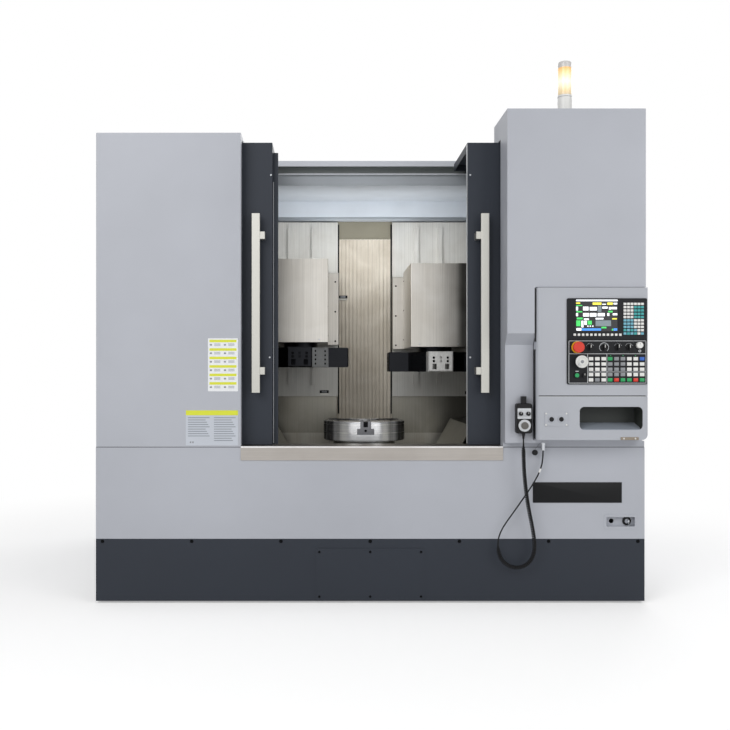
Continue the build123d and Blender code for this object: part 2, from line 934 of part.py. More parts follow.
def make_saddle(axis_x, side):
    """A cross saddle: wide shield plate, block over the cross rails, two upright rails."""
    plate_y = behind(saddle_setback)
    inner_x = axis_x - side * saddle_inner_reach
    outer_x = axis_x + side * saddle_outer_reach
    with BuildPart() as saddle:
        slab(
            (min(inner_x, outer_x), plate_y, saddle_plate_bottom),
            (max(inner_x, outer_x), plate_y + saddle_plate, saddle_plate_top),
        )
        slab(
            (axis_x - saddle_block_half_width, plate_y, saddle_block_bottom),
            (axis_x + saddle_block_half_width, column_y - saddle_back_gap, saddle_block_top),
        )
        for rail_z in (cross_rail_low_z, cross_rail_high_z):
            slab(
                (axis_x - saddle_block_half_width - cut_overrun,
                 column_y - cross_rail_depth - running_gap,
                 rail_z - cross_rail_height / 2 - running_gap),
                (axis_x + saddle_block_half_width + cut_overrun,
                 column_y,
                 rail_z + cross_rail_height / 2 + running_gap),
                Mode.SUBTRACT,
            )
        for rail_x in (axis_x - head_rail_offset, axis_x + head_rail_offset):
            slab(
                (rail_x - head_rail_width / 2, plate_y - head_rail_depth, head_rail_bottom),
                (rail_x + head_rail_width / 2, plate_y, head_rail_top),
            )
    return saddle


def make_slide(axis_x, drop):
    """A vertical slide: plate, carriage over the upright rails and the turret's casting."""
    plate_y = behind(slide_setback)
    bottom_z = head_bottom - slide_drop - drop
    middle_z = bottom_z + slide_height / 2
    carriage_back_y = plate_y + slide_thickness + carriage_depth
    casting_bottom = head_bottom - drop + head_casting_lift
    with BuildPart() as slide:
        slab(
            (axis_x - slide_half_width, plate_y, bottom_z),
            (axis_x + slide_half_width, plate_y + slide_thickness, bottom_z + slide_height),
        )
        chamfer(slide.faces().sort_by(Axis.Y)[0].edges(), slide_edge)
        slab(
            (axis_x - carriage_half_width, plate_y + slide_thickness, middle_z - carriage_height / 2),
            (axis_x + carriage_half_width, carriage_back_y, middle_z + carriage_height / 2),
        )
        for rail_x in (axis_x - head_rail_offset, axis_x + head_rail_offset):
            slab(
                (rail_x - head_rail_width / 2 - running_gap,
                 behind(saddle_setback) - head_rail_depth - running_gap,
                 bottom_z - cut_overrun),
                (rail_x + head_rail_width / 2 + running_gap,
                 carriage_back_y + cut_overrun,
                 bottom_z + slide_height + cut_overrun),
                Mode.SUBTRACT,
            )
        slab(
            (axis_x - head_casting_half_width, behind(head_front_setback) + head_casting_front_gap,
             casting_bottom),
            (axis_x + head_casting_half_width, plate_y, casting_bottom + head_casting_height),
        )
        with Locations((axis_x, chuck_y, casting_bottom)):
            Cylinder(turret_stem_radius + bearing_gap, turret_stem_length, align=low_align,
                     mode=Mode.SUBTRACT)
    return slide


def make_head_cover(axis_x, drop):
    """A stainless box over the slide's casting, open behind and round the turret's neck."""
    bottom_z = head_bottom - drop
    with BuildPart() as cover:
        slab(
            (axis_x - head_half_width, behind(head_front_setback), bottom_z),
            (axis_x + head_half_width, behind(slide_setback), bottom_z + head_height),
        )
        fillet(cover.faces().sort_by(Axis.Y)[0].edges().filter_by(Axis.Z), head_edge)
        offset(amount=-head_wall, openings=cover.faces().sort_by(Axis.Y)[-1])
        with Locations((axis_x, chuck_y, bottom_z)):
            Cylinder(turret_neck_radius + running_gap, 4 * head_wall, mode=Mode.SUBTRACT)
    return cover


def make_turret(axis_x, drop):
    """An eight-sided turret disc with its neck and the stem that turns in the casting."""
    top_z = head_bottom - drop - turret_gap
    stem_z = head_bottom - drop + head_casting_lift - running_gap
    with BuildPart() as turret:
        with BuildSketch(Plane.XY.offset(top_z - turret_height)):
            with Locations((axis_x, chuck_y)):
                RegularPolygon(turret_apothem, turret_sides, major_radius=False,
                               rotation=180 / turret_sides)
        extrude(amount=turret_height)
        chamfer(turret.edges().group_by(Axis.Z)[0], turret_edge)
        chamfer(turret.edges().group_by(Axis.Z)[-1], turret_edge)
        with Locations((axis_x, chuck_y, top_z)):
            Cylinder(turret_neck_radius, stem_z - top_z, align=low_align)
        with Locations((axis_x, chuck_y, stem_z)):
            Cylinder(turret_stem_radius, turret_stem_length, align=low_align)
        with Locations((axis_x, chuck_y, top_z - turret_height)):
            Cylinder(turret_cap_radius, 2 * turret_cap_depth, mode=Mode.SUBTRACT)
    return turret


# Tool block about the turret's own axis: a tool slot in its face, clamp screws above it
with BuildPart() as tool_block:
    slab(
        (turret_apothem, -block_width / 2, 0),
        (block_reach, block_width / 2, turret_height),
    )
    chamfer(tool_block.faces().sort_by(Axis.X)[-1].edges(), block_edge)
    for slot_y in (-block_width / 4, block_width / 4):
        slab(
            (turret_apothem + tool_slot_width, slot_y - tool_slot_width / 2, tool_slot_rise),
            (block_reach + cut_overrun, slot_y + tool_slot_width / 2, tool_slot_rise + tool_slot_height),
            Mode.SUBTRACT,
        )
    with BuildSketch(Plane.YZ.offset(block_reach)):
        with Locations((0, block_bolt_rise)):
            with GridLocations(block_bolt_pitch, block_bolt_pitch / 2, block_bolt_columns, block_bolt_rows):
                Circle(block_bolt_radius)
    extrude(amount=-block_bolt_depth, mode=Mode.SUBTRACT)


def make_tool_blocks(axis_x, drop):
    """Four tool blocks on the turret's square faces."""
    with BuildPart() as blocks:
        with Locations((axis_x, chuck_y, head_bottom - drop - turret_gap - turret_height)):
            with PolarLocations(0, block_count):
                add(tool_block.part)
    return blocks


def make_door(edge_x, side, sealed):
    """A door folded over into a roof: window opening, hangers and a seal strip if it has one."""
    far_x = edge_x + side * door_width
    near_y = behind(door_setback)
    roof_back_y = behind(door_roof_setback)
    window_near_x = edge_x + side * door_stile
    window_far_x = far_x - side * door_stile * far_stile_share
    window_mid_x = (window_near_x + window_far_x) / 2
    window_mid_z = (door_bottom + door_top) / 2
    window_width = abs(window_far_x - window_near_x)
    window_height = door_top - door_bottom - 2 * door_rail_width
    with BuildPart() as door:
        slab(
            (min(edge_x, far_x), near_y, door_bottom),
            (max(edge_x, far_x), near_y + door_thickness, door_top),
        )
        fillet(door.faces().sort_by(Axis.Y)[0].edges().filter_by(Axis.Z), door_wall)
        with BuildSketch(front_plane(near_y)):
            with Locations((window_mid_x, window_mid_z)):
                RectangleRounded(window_width, window_height, window_corner)
        extrude(amount=-door_thickness, mode=Mode.SUBTRACT)
        with BuildSketch(front_plane(near_y + door_thickness)):
            with Locations((window_mid_x, window_mid_z)):
                RectangleRounded(window_width + 2 * window_lap, window_height + 2 * window_lap,
                                 window_corner)
        extrude(amount=window_thickness, mode=Mode.SUBTRACT)
        slab(
            (min(edge_x, far_x), near_y + door_thickness, door_top - door_roof_height),
            (max(edge_x, far_x), roof_back_y, door_top),
        )
        slab(
            (min(edge_x, far_x) + door_wall, near_y + door_thickness, door_top - door_roof_height),
            (max(edge_x, far_x) - door_wall, roof_back_y - door_wall, door_top - door_wall),
            Mode.SUBTRACT,
        )
        for hanger_x in (edge_x + side * hanger_inset, far_x - side * hanger_inset):
            slab(
                (hanger_x - hanger_width / 2, roof_back_y - door_wall, roof_level + running_gap),
                (hanger_x + hanger_width / 2, roof_back_y + hanger_depth, roof_level + hanger_height),
            )
        if sealed:
            lip_x = edge_x - side * seal_reach
            root_x = edge_x + side * seal_reach
            slab(
                (min(lip_x, root_x), behind(seal_setback), door_bottom),
                (max(lip_x, root_x), behind(seal_setback) + seal_thickness, seal_top),
            )
            slab(
                (min(edge_x, root_x), near_y + door_thickness, door_bottom),
                (max(edge_x, root_x), behind(seal_setback), seal_top),
            )
    return door


def make_window(edge_x, side):
    """The pane in the door's rebate."""
    window_near_x = edge_x + side * door_stile
    window_far_x = edge_x + side * (door_width - door_stile * far_stile_share)
    pane_lap = window_lap - running_gap
    with BuildPart() as pane:
        with BuildSketch(front_plane(behind(door_setback) + door_thickness)):
            with Locations(((window_near_x + window_far_x) / 2, (door_bottom + door_top) / 2)):
                RectangleRounded(
                    abs(window_far_x - window_near_x) + 2 * pane_lap,
                    door_top - door_bottom - 2 * door_rail_width + 2 * pane_lap,
                    window_corner,
                )
        extrude(amount=window_thickness)
    return pane


def make_handle(edge_x, side):
    """A flat bar handle on two posts set off towards the opening."""
    bar_x = edge_x + side * handle_inset
    door_face_y = behind(door_setback)
    post_x = bar_x - side * (handle_width + handle_post_reach) / 2
    with BuildPart() as handle:
        with BuildSketch(Plane.XY.offset(handle_bottom)):
            with Locations((bar_x, door_face_y - handle_standoff - handle_depth / 2)):
                RectangleRounded(handle_width, handle_depth, handle_edge)
        extrude(amount=handle_top - handle_bottom)
        for post_z in (handle_bottom + handle_post_inset, handle_top - handle_post_inset):
            slab(
                (post_x - handle_post_reach / 2, door_face_y - handle_standoff - handle_depth + handle_edge,
                 post_z - handle_post_height / 2),
                (post_x + handle_post_reach / 2, door_face_y, post_z + handle_post_height / 2),
            )
    return handle


# Pendant housing: hollow, with a split groove, tray slot, port plate and pivot pins
with BuildPart() as pendant_housing:
    pendant_face_y = apron_y - pendant_step
    slab(
        (pendant_left, pendant_face_y, pendant_bottom),
        (pendant_right, pendant_face_y + pendant_depth, pendant_top),
    )
    upright_edges = pendant_housing.edges().filter_by(Axis.Z).sort_by(Axis.X)
    fillet(upright_edges[:2].sort_by(Axis.Y)[0], pendant_corner)
    fillet(
        pendant_housing.edges().filter_by(Axis.Y).group_by(Axis.Z)[0].sort_by(Axis.X)[-1],
        pendant_low_corner,
    )
    slab(
        (pendant_left - cut_overrun, pendant_face_y - cut_overrun, pendant_split_z - pendant_split_width / 2),
        (pendant_right + cut_overrun, pendant_face_y + pendant_split_depth,
         pendant_split_z + pendant_split_width / 2),
        Mode.SUBTRACT,
    )
    with BuildSketch(front_plane(pendant_face_y)):
        with Locations(((tray_slot_left + tray_slot_right) / 2, (tray_slot_bottom + tray_slot_top) / 2)):
            RectangleRounded(tray_slot_right - tray_slot_left, tray_slot_top - tray_slot_bottom,
                             tray_slot_corner)
    extrude(amount=-tray_slot_depth, mode=Mode.SUBTRACT)
    with BuildSketch(front_plane(pendant_face_y)):
        with Locations((port_plate_x, port_plate_z)):
            Rectangle(port_plate_width, port_plate_height)
    extrude(amount=port_plate_thickness)
    with BuildSketch(front_plane(pendant_face_y - port_plate_thickness)):
        with Locations((port_plate_x - port_cap_offset, port_plate_z),
                       (port_plate_x + port_cap_offset, port_plate_z)):
            Circle(port_cap_radius)
    extrude(amount=port_cap_height)
    slab(
        (pendant_left + pendant_wall, pendant_face_y + pendant_front_wall,
         pendant_split_z + pendant_wall),
        (pendant_right - pendant_wall, pendant_face_y + pendant_depth - pendant_wall,
         pendant_top - pendant_wall),
        Mode.SUBTRACT,
    )
    slab(
        (pendant_left + pendant_wall, pendant_face_y + pendant_front_wall, pendant_bottom + pendant_wall),
        (tray_slot_left - pendant_wall, pendant_face_y + pendant_depth - pendant_wall,
         pendant_split_z - pendant_wall),
        Mode.SUBTRACT,
    )
    with Locations((pivot_x, pivot_y, pendant_bottom - recess_clearance - sheet_wall)):
        Cylinder(
            pivot_radius,
            pendant_top - pendant_bottom + 2 * (recess_clearance + sheet_wall),
            align=low_align,
        )

# Control panel: screen recess, soft keys, keypad and mode keys on one moulded face
with BuildPart() as control_panel:
    with BuildSketch(front_plane(pendant_face_y)):
        with Locations(((panel_left + panel_right) / 2, (panel_bottom + panel_top) / 2)):
            RectangleRounded(panel_right - panel_left, panel_top - panel_bottom, panel_corner)
    extrude(amount=panel_thickness)
    slab(
        (panel_left - cut_overrun, panel_face_y - cut_overrun, panel_split_z - panel_split_width / 2),
        (panel_right + cut_overrun, panel_face_y + panel_split_depth, panel_split_z + panel_split_width / 2),
        Mode.SUBTRACT,
    )
    slab(
        (screen_left, panel_face_y - cut_overrun, screen_bottom),
        (screen_right, panel_face_y + screen_depth, screen_top),
        Mode.SUBTRACT,
    )
    with BuildSketch(front_plane(panel_face_y)):
        with Locations((keypad_x, keypad_z)):
            with GridLocations(keypad_pitch_x, keypad_pitch_z, keypad_columns, keypad_rows):
                Rectangle(key_size, key_size)
        with Locations((soft_key_x, soft_key_z)):
            with GridLocations(soft_key_pitch, 0, soft_key_count, 1):
                Rectangle(key_size, key_size)
        with Locations((mode_key_x, mode_key_z)):
            with GridLocations(mode_key_pitch_x, mode_key_pitch_z, mode_key_columns, mode_key_rows):
                Rectangle(mode_key_size, mode_key_size)
    extrude(amount=key_height)
    with BuildSketch(front_plane(panel_face_y)):
        with Locations((stop_x, control_row_z), (override_x, override_z), (handwheel_x, handwheel_z),
                       (start_x, start_z), (panel_knob_x, start_z),
                       *((knob_x, control_row_z) for knob_x in selector_xs)):
            Circle(shaft_radius + bearing_gap)
    extrude(amount=-panel_thickness, mode=Mode.SUBTRACT)


def turned_control(place_x, place_z, face_y, steps):
    """Add round steps, each a radius and a height, standing off a face, with a shaft behind them."""
    with Locations(Plane((place_x, face_y + shaft_depth, place_z), z_dir=(0, -1, 0)).location):
        Cylinder(shaft_radius, shaft_depth, align=low_align)
    reach = 0
    for radius, height in steps:
        with Locations(Plane((place_x, face_y - reach, place_z), z_dir=(0, -1, 0)).location):
            Cylinder(radius, height, align=low_align)
        reach += height


# Emergency stop: mushroom cap that pushes in over its collar
with BuildPart() as emergency_stop:
    turned_control(stop_x, control_row_z, panel_face_y - stop_travel - running_gap,
                   [(stop_collar_radius, stop_collar_height), (stop_radius, stop_cap_height)])
    fillet(emergency_stop.edges().filter_by(GeomType.CIRCLE).sort_by(Axis.Y)[0], override_edge)
    with Locations(Plane((stop_x, panel_face_y, control_row_z), z_dir=(0, -1, 0)).location):
        Cylinder(shaft_radius, stop_travel + running_gap, align=low_align)


def make_selector(place_x):
    """A selector: round base with a raised grip across it."""
    with BuildPart() as selector:
        turned_control(place_x, control_row_z, panel_face_y - running_gap,
                       [(selector_radius, selector_base_height)])
        slab(
            (place_x - selector_grip_width / 2,
             panel_face_y - running_gap - selector_base_height - selector_grip_height,
             control_row_z - selector_radius),
            (place_x + selector_grip_width / 2,
             panel_face_y - running_gap - selector_base_height,
             control_row_z + selector_radius),
        )
    return selector


with BuildPart() as override_knob:
    turned_control(override_x, override_z, panel_face_y - running_gap, [(override_radius, override_height)])
    fillet(override_knob.edges().filter_by(GeomType.CIRCLE).sort_by(Axis.Y)[0], override_edge)

# Handwheel: thin web, raised rim and a hub that stands out furthest
with BuildPart() as handwheel:
    wheel_y = panel_face_y - running_gap
    turned_control(handwheel_x, handwheel_z, wheel_y, [
        (handwheel_hub_radius, handwheel_reach - handwheel_rim_height - running_gap),
        (handwheel_radius, handwheel_rim_height),
    ])
    with Locations(Plane((handwheel_x, panel_face_y - handwheel_reach, handwheel_z),
                         z_dir=(0, 1, 0)).location):
        Cylinder(handwheel_radius - handwheel_web_height, handwheel_rim_height - handwheel_web_height,
                 align=low_align, mode=Mode.SUBTRACT)
        Cylinder(handwheel_hub_radius, handwheel_rim_height - handwheel_web_height, align=low_align)
    fillet(handwheel.edges().filter_by(GeomType.CIRCLE).group_by(SortBy.RADIUS)[-1], override_edge)

with BuildPart() as start_button:
    turned_control(start_x, start_z, panel_face_y - start_travel, [(start_radius, start_height)])
    with Locations(Plane((start_x, panel_face_y, start_z), z_dir=(0, -1, 0)).location):
        Cylinder(shaft_radius, start_travel, align=low_align)

with BuildPart() as panel_knob:
    turned_control(panel_knob_x, start_z, panel_face_y - running_gap,
                   [(panel_knob_radius, panel_knob_height)])

# Handheld pulse unit on the cabinet's lower face
with BuildPart() as handheld_body:
    with BuildSketch(front_plane(handheld_back_y)):
        with Locations((handheld_x, (handheld_bottom + handheld_top) / 2)):
            RectangleRounded(handheld_width, handheld_top - handheld_bottom, handheld_corner)
    extrude(amount=handheld_thickness)
    chamfer(handheld_body.faces().sort_by(Axis.Y)[0].edges(), handheld_edge)
    stub_mid_y = handheld_back_y - handheld_thickness / 2
    slab(
        (handheld_x - handheld_stub_width / 2, stub_mid_y - handheld_stub_thickness / 2, handheld_top),
        (handheld_x + handheld_stub_width / 2, stub_mid_y + handheld_stub_thickness / 2,
         handheld_top + handheld_stub_height),
    )
    with BuildSketch(front_plane(handheld_face_y)):
        with Locations((handheld_x, dial_z), (handheld_x - handheld_knob_offset, handheld_knob_z),
                       (handheld_x + handheld_knob_offset, handheld_knob_z)):
            Circle(shaft_radius + bearing_gap)
    extrude(amount=-shaft_depth - running_gap, mode=Mode.SUBTRACT)

with BuildPart() as handheld_dial:
    turned_control(handheld_x, dial_z, handheld_face_y - running_gap,
                   [(dial_radius, dial_height), (dial_hub_radius, dial_hub_height)])


def make_handheld_knob(side):
    """A small pointer knob on the handheld unit."""
    place_x = handheld_x + side * handheld_knob_offset
    with BuildPart() as knob:
        turned_control(place_x, handheld_knob_z, handheld_face_y - running_gap,
                       [(handheld_knob_radius, handheld_knob_height)])
    return knob


# Signal beacon on the right cabinet
with BuildPart() as beacon_base:
    beacon_y = behind(beacon_setback)
    with Locations((beacon_x, beacon_y, right_height)):
        Cylinder(beacon_base_plinth, beacon_plinth_height, align=low_align)
        Cylinder(beacon_radius, beacon_base_height, align=low_align)

with BuildPart() as beacon_lens:
    with Locations((beacon_x, beacon_y, right_height + beacon_base_height)):
        Cylinder(beacon_lens_radius, beacon_lens_height, align=low_align)
    fillet(beacon_lens.edges().filter_by(GeomType.CIRCLE).sort_by(Axis.Z)[-1], beacon_lens_crown)

# Cord: connector under the cabinet, plain lead, then the curly stretch up to the handheld unit
with BuildPart() as cord_connector:
    with Locations((connector_x, behind(connector_setback), overhang_bottom - connector_height)):
        Cylinder(connector_radius, connector_height, align=low_align)
    with Locations((connector_x, behind(connector_setback), overhang_bottom - connector_nut_height)):
        Cylinder(connector_nut_radius, connector_nut_height, align=low_align)


def cord_tube(points, radius, label):
    """A tube along straight runs joined by arcs as large as the runs allow."""
    stops = [Vector(*point) for point in points]
    bends = []
    for before, corner, after in zip(stops, stops[1:], stops[2:]):
        turn = (corner - before).get_angle(after - corner)
        shorter = min((corner - before).length, (after - corner).length)
        bends.append(arc_share * shorter / tan(radians(turn) / 2))
    print(label, "bend radii", [round(bend) for bend in bends])
    with BuildPart() as tube:
        with BuildLine() as route:
            FilletPolyline(*points, radius=bends)
        with BuildSketch(Plane(route.line @ 0, z_dir=route.line % 0)):
            Circle(radius)
        sweep()
    length = sum(edge.length for edge in route.edges())
    print(label, "length", round(length), "volume over section times length",
          tube.part.volume / (pi * radius ** 2 * length))
    return tube


lead_points = [(x, behind(setback), z) for x, setback, z in lead_route]
curl_points = [(x, behind(setback), z) for x, setback, z in curl_route]
cord_joint = tuple((a + b) / 2 for a, b in zip(lead_points[-1], curl_points[0]))
cord_lead = cord_tube(lead_points + [cord_joint], lead_radius, "cord_lead")
curly_cord = cord_tube([cord_joint] + curl_points, curl_radius, "curly_cord")

pieces = {
    "levelling_feet": levelling_feet,
    "base_casting": base_casting,
    "column_casting": column_casting,
    "cross_rails": cross_rails,
    "plinth_skirt": plinth_skirt,
    "service_hatch": service_hatch,
    "lower_guard": lower_guard,
    "sill": sill,
    "lock_box": lock_box,
    "lock_key": lock_key,
    "left_cabinet": left_cabinet,
    "right_cabinet": right_cabinet,
    "roof_cover": roof_cover,
    "header_rail": header_rail,
    "rear_cover": rear_cover,
    "chamber_liners": chamber_liners,
    "column_cover": column_cover,
    "chip_tray": chip_tray,
    "spindle_housing": spindle_housing,
    "spindle_shaft": spindle_shaft,
    "chuck_body": chuck_body,
    "pendant_housing": pendant_housing,
    "control_panel": control_panel,
    "emergency_stop": emergency_stop,
    "override_knob": override_knob,
    "handwheel": handwheel,
    "start_button": start_button,
    "panel_knob": panel_knob,
    "handheld_body": handheld_body,
    "handheld_dial": handheld_dial,
    "handheld_axis_knob": make_handheld_knob(-1),
    "handheld_step_knob": make_handheld_knob(1),
    "beacon_base": beacon_base,
    "beacon_lens": beacon_lens,
    "cord_connector": cord_connector,
    "cord_lead": cord_lead,
    "curly_cord": curly_cord,
}
for turn in range(jaw_count):
    pieces[f"jaw_{turn + 1}"] = make_jaw(turn)
for number, place_x in enumerate(selector_xs, start=1):
    pieces[f"selector_{number}"] = make_selector(place_x)
for name, axis_x, side, drop in (
    ("left", left_axis_x, -1, 0),
    ("right", right_axis_x, 1, right_head_drop),
):
    pieces[f"{name}_saddle"] = make_saddle(axis_x, side)
    pieces[f"{name}_slide"] = make_slide(axis_x, drop)
    pieces[f"{name}_head_cover"] = make_head_cover(axis_x, drop)
    pieces[f"{name}_turret"] = make_turret(axis_x, drop)
    pieces[f"{name}_tool_blocks"] = make_tool_blocks(axis_x, drop)
for name, edge_x, side, sealed in (
    ("left", left_door_edge, -1, True),
    ("right", right_door_edge, 1, False),
):
    pieces[f"{name}_door"] = make_door(edge_x, side, sealed)
    pieces[f"{name}_door_window"] = make_window(edge_x, side)
    pieces[f"{name}_door_handle"] = make_handle(edge_x, side)

os.makedirs("parts", exist_ok=True)
for label, piece in pieces.items():
    piece.part.label = label
    export_step(piece.part, f"parts/{label}.step")
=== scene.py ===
# Looks of a vertical turning and grinding machine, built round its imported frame.
# Metres, in the frame's own axes: +X to the operator's right, -Y to the operator, +Z up.

import logging
import math
from dataclasses import dataclass, field
from enum import Enum
from typing import Any, Iterable, Optional, Sequence

import bmesh
import bpy
import numpy as np
from mathutils import Matrix, Vector


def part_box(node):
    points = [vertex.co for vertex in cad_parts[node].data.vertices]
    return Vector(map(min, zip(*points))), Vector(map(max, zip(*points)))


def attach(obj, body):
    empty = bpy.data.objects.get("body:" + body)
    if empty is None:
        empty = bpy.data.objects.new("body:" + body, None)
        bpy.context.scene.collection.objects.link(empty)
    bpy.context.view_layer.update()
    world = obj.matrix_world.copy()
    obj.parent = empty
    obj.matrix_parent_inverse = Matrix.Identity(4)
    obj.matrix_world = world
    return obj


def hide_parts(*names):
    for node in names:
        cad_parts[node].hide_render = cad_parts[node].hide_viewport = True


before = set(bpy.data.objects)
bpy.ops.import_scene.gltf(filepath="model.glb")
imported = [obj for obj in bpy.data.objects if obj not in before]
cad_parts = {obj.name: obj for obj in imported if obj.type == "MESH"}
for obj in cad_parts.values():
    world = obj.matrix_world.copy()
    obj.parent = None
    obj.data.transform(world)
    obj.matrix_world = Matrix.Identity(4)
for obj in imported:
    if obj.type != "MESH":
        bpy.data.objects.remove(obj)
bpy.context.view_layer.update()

LOG = logging.getLogger("machine")
APRON_Y = -1.059
MM = 0.001
ROOT = "machine_frame"
FRONT, REAR, UP = (0, -1, 0), (0, 1, 0), (0, 0, 1)
BOTH = (-1, 1)
WHOLE = (0, 360)
PRINT = 0.25 * MM
FULL = (1.0, 1.0, 1.0, 1.0)
PLASTIC_IOR = 1.5
GLASS_IOR = 1.52
Point = Sequence[float]
Box = tuple[float, float, float, float]
Colour = tuple[float, ...]
Socket = bpy.types.NodeSocket


def linear(code: str) -> Colour:
    """Turns an sRGB hex code into a linear colour.

    Args:
        code: six hex digits after a #.

    Returns:
        Red, green, blue and an alpha of one.
    """
    parts = [int(code[i:i + 2], 16) / 255 for i in (1, 3, 5)]
    low = [c / 12.92 if c <= 0.04045 else ((c + 0.055) / 1.055) ** 2.4 for c in parts]
    return (low[0], low[1], low[2], 1.0)


def scaled(colour: Colour, share: float) -> Colour:
    """A linear colour made darker or lighter by a share, with an alpha of one."""
    return tuple(min(1.0, c * share) for c in colour[:3]) + (1.0,)


def per_metre(size_mm: float) -> float:
    """A pattern's scale from the size of its grain in millimetres."""
    return 1000.0 / size_mm


def add_node(tree: bpy.types.NodeTree, kind: str,
             settings: Optional[dict[Any, Any]] = None) -> bpy.types.Node:
    """Adds one node with its settings and its incoming links.

    Args:
        tree: the material's or world's node tree.
        kind: the node's type name after "ShaderNode".
        settings: inputs by name or number, each a value or a socket to link, or attributes by
            name; "stops" fills a colour ramp.

    Returns:
        The new node.
    """
    node = tree.nodes.new("ShaderNode" + kind)
    for key, value in (settings or {}).items():
        if isinstance(value, Socket):
            tree.links.new(node.inputs[key], value)
        elif key == "stops":
            ramp = node.color_ramp.elements
            while len(ramp) < len(value):
                ramp.new(1.0)
            for stop, (place, colour) in zip(ramp, value):
                stop.position, stop.color = place, colour
        elif isinstance(key, int) or key in node.inputs:
            node.inputs[key].default_value = value
        else:
            setattr(node, key, value)
    return node


def empty_tree(owner: Any) -> bpy.types.NodeTree:
    """The node tree of a material or world, with nothing in it."""
    owner.use_nodes = True
    owner.node_tree.nodes.clear()
    return owner.node_tree


def show(name: str, data: Any) -> bpy.types.Object:
    """Puts new data into the scene as an object.

    Args:
        name: the object's name.
        data: its mesh, curve, light or camera.

    Returns:
        The object.
    """
    made = bpy.data.objects.new(name, data)
    bpy.context.scene.collection.objects.link(made)
    return made


@dataclass
class Skin:
    """A node tree while it is filled, with the patterns that the finishes share.

    Args:
        tree: the material's or world's tree.
        shader: the surface shader, where there is one.
    """

    tree: bpy.types.NodeTree
    shader: Optional[bpy.types.Node] = None

    def node(self, kind: str, settings: Optional[dict[Any, Any]] = None, out: Any = 0) -> Socket:
        """Adds a node and hands back one of its outputs."""
        return add_node(self.tree, kind, settings).outputs[out]

    def place(self) -> Socket:
        """The object's own coordinates."""
        return self.node("TexCoord", out="Object")

    def axis(self, name: str, place: Optional[Socket] = None) -> Socket:
        """One coordinate, of the object or of a place that is given."""
        return self.node("SeparateXYZ", {0: place or self.place()}, name)

    def about(self, axis: tuple[float, float]) -> Socket:
        """The object's coordinates, moved to an upright axis."""
        return self.node("Mapping", {"Location": (-axis[0], -axis[1], 0.0), "Vector": self.place()})

    def noise(self, size_mm: float, detail: float, place: Optional[Socket] = None,
              **more: float) -> Socket:
        """A cloudy pattern with a grain of some size."""
        return self.node("TexNoise", {"Scale": per_metre(size_mm), "Detail": detail,
                                      "Vector": place or self.place(), **more})

    def lines(self, scale: float, detail: float, along: Socket) -> Socket:
        """A pattern that varies with one value only."""
        return self.node("TexNoise", {"noise_dimensions": "1D", "Scale": scale, "Detail": detail,
                                      "W": along})

    def ramp(self, value: Socket, *stops: tuple[float, Colour]) -> Socket:
        """Colours by value."""
        return self.node("ValToRGB", {"stops": stops, "Fac": value})

    def span(self, value: Socket, low: float, high: float, start: float = 0.0, stop: float = 1.0,
             smooth: bool = False) -> Socket:
        """A value read from one range into another, and held at its ends.

        Args:
            value: the value.
            low: what it becomes at the start.
            high: what it becomes at the stop.
            start: where the range that is read starts.
            stop: where it stops.
            smooth: whether the ends are eased.

        Returns:
            The new value's socket.
        """
        kind = "SMOOTHSTEP" if smooth else "LINEAR"
        return self.node("MapRange", {"interpolation_type": kind, "Value": value, "From Min": start,
                                      "From Max": stop, "To Min": low, "To Max": high})

    def sum(self, operation: str, *values: Any) -> Socket:
        """A sum with numbers or sockets."""
        return self.node("Math", {"operation": operation, **dict(enumerate(values))})

    def vector(self, operation: str, *values: Any, out: Any = 0) -> Socket:
        """A sum with vectors."""
        return self.node("VectorMath", {"operation": operation, **dict(enumerate(values))}, out)

    def mix(self, share: Any, first: Any, second: Any, blend: str = "MIX") -> Socket:
        """Two colours, the second laid over the first by a share."""
        return self.node("Mix", {"data_type": "RGBA", "blend_type": blend, 0: share, 6: first,
                                 7: second}, 2)

    def times(self, first: Socket, second: Socket) -> Socket:
        """Two colours multiplied."""
        return self.mix(1.0, first, second, "MULTIPLY")

    def wear(self, settings: dict[str, Any]) -> None:
        """Sets the shader's inputs, each to a value or a link."""
        for name, value in settings.items():
            if isinstance(value, Socket):
                self.tree.links.new(self.shader.inputs[name], value)
            else:
                self.shader.inputs[name].default_value = value

    def worn(self) -> Socket:
        """The colour that the shader has so far."""
        return self.shader.inputs["Base Color"].links[0].from_socket


class Run(Enum):
    """Which way the lines of a brushed or rolled surface run."""

    UPRIGHT = (1.0, 1.0, 0.004)
    ACROSS = (0.004, 1.0, 1.0)


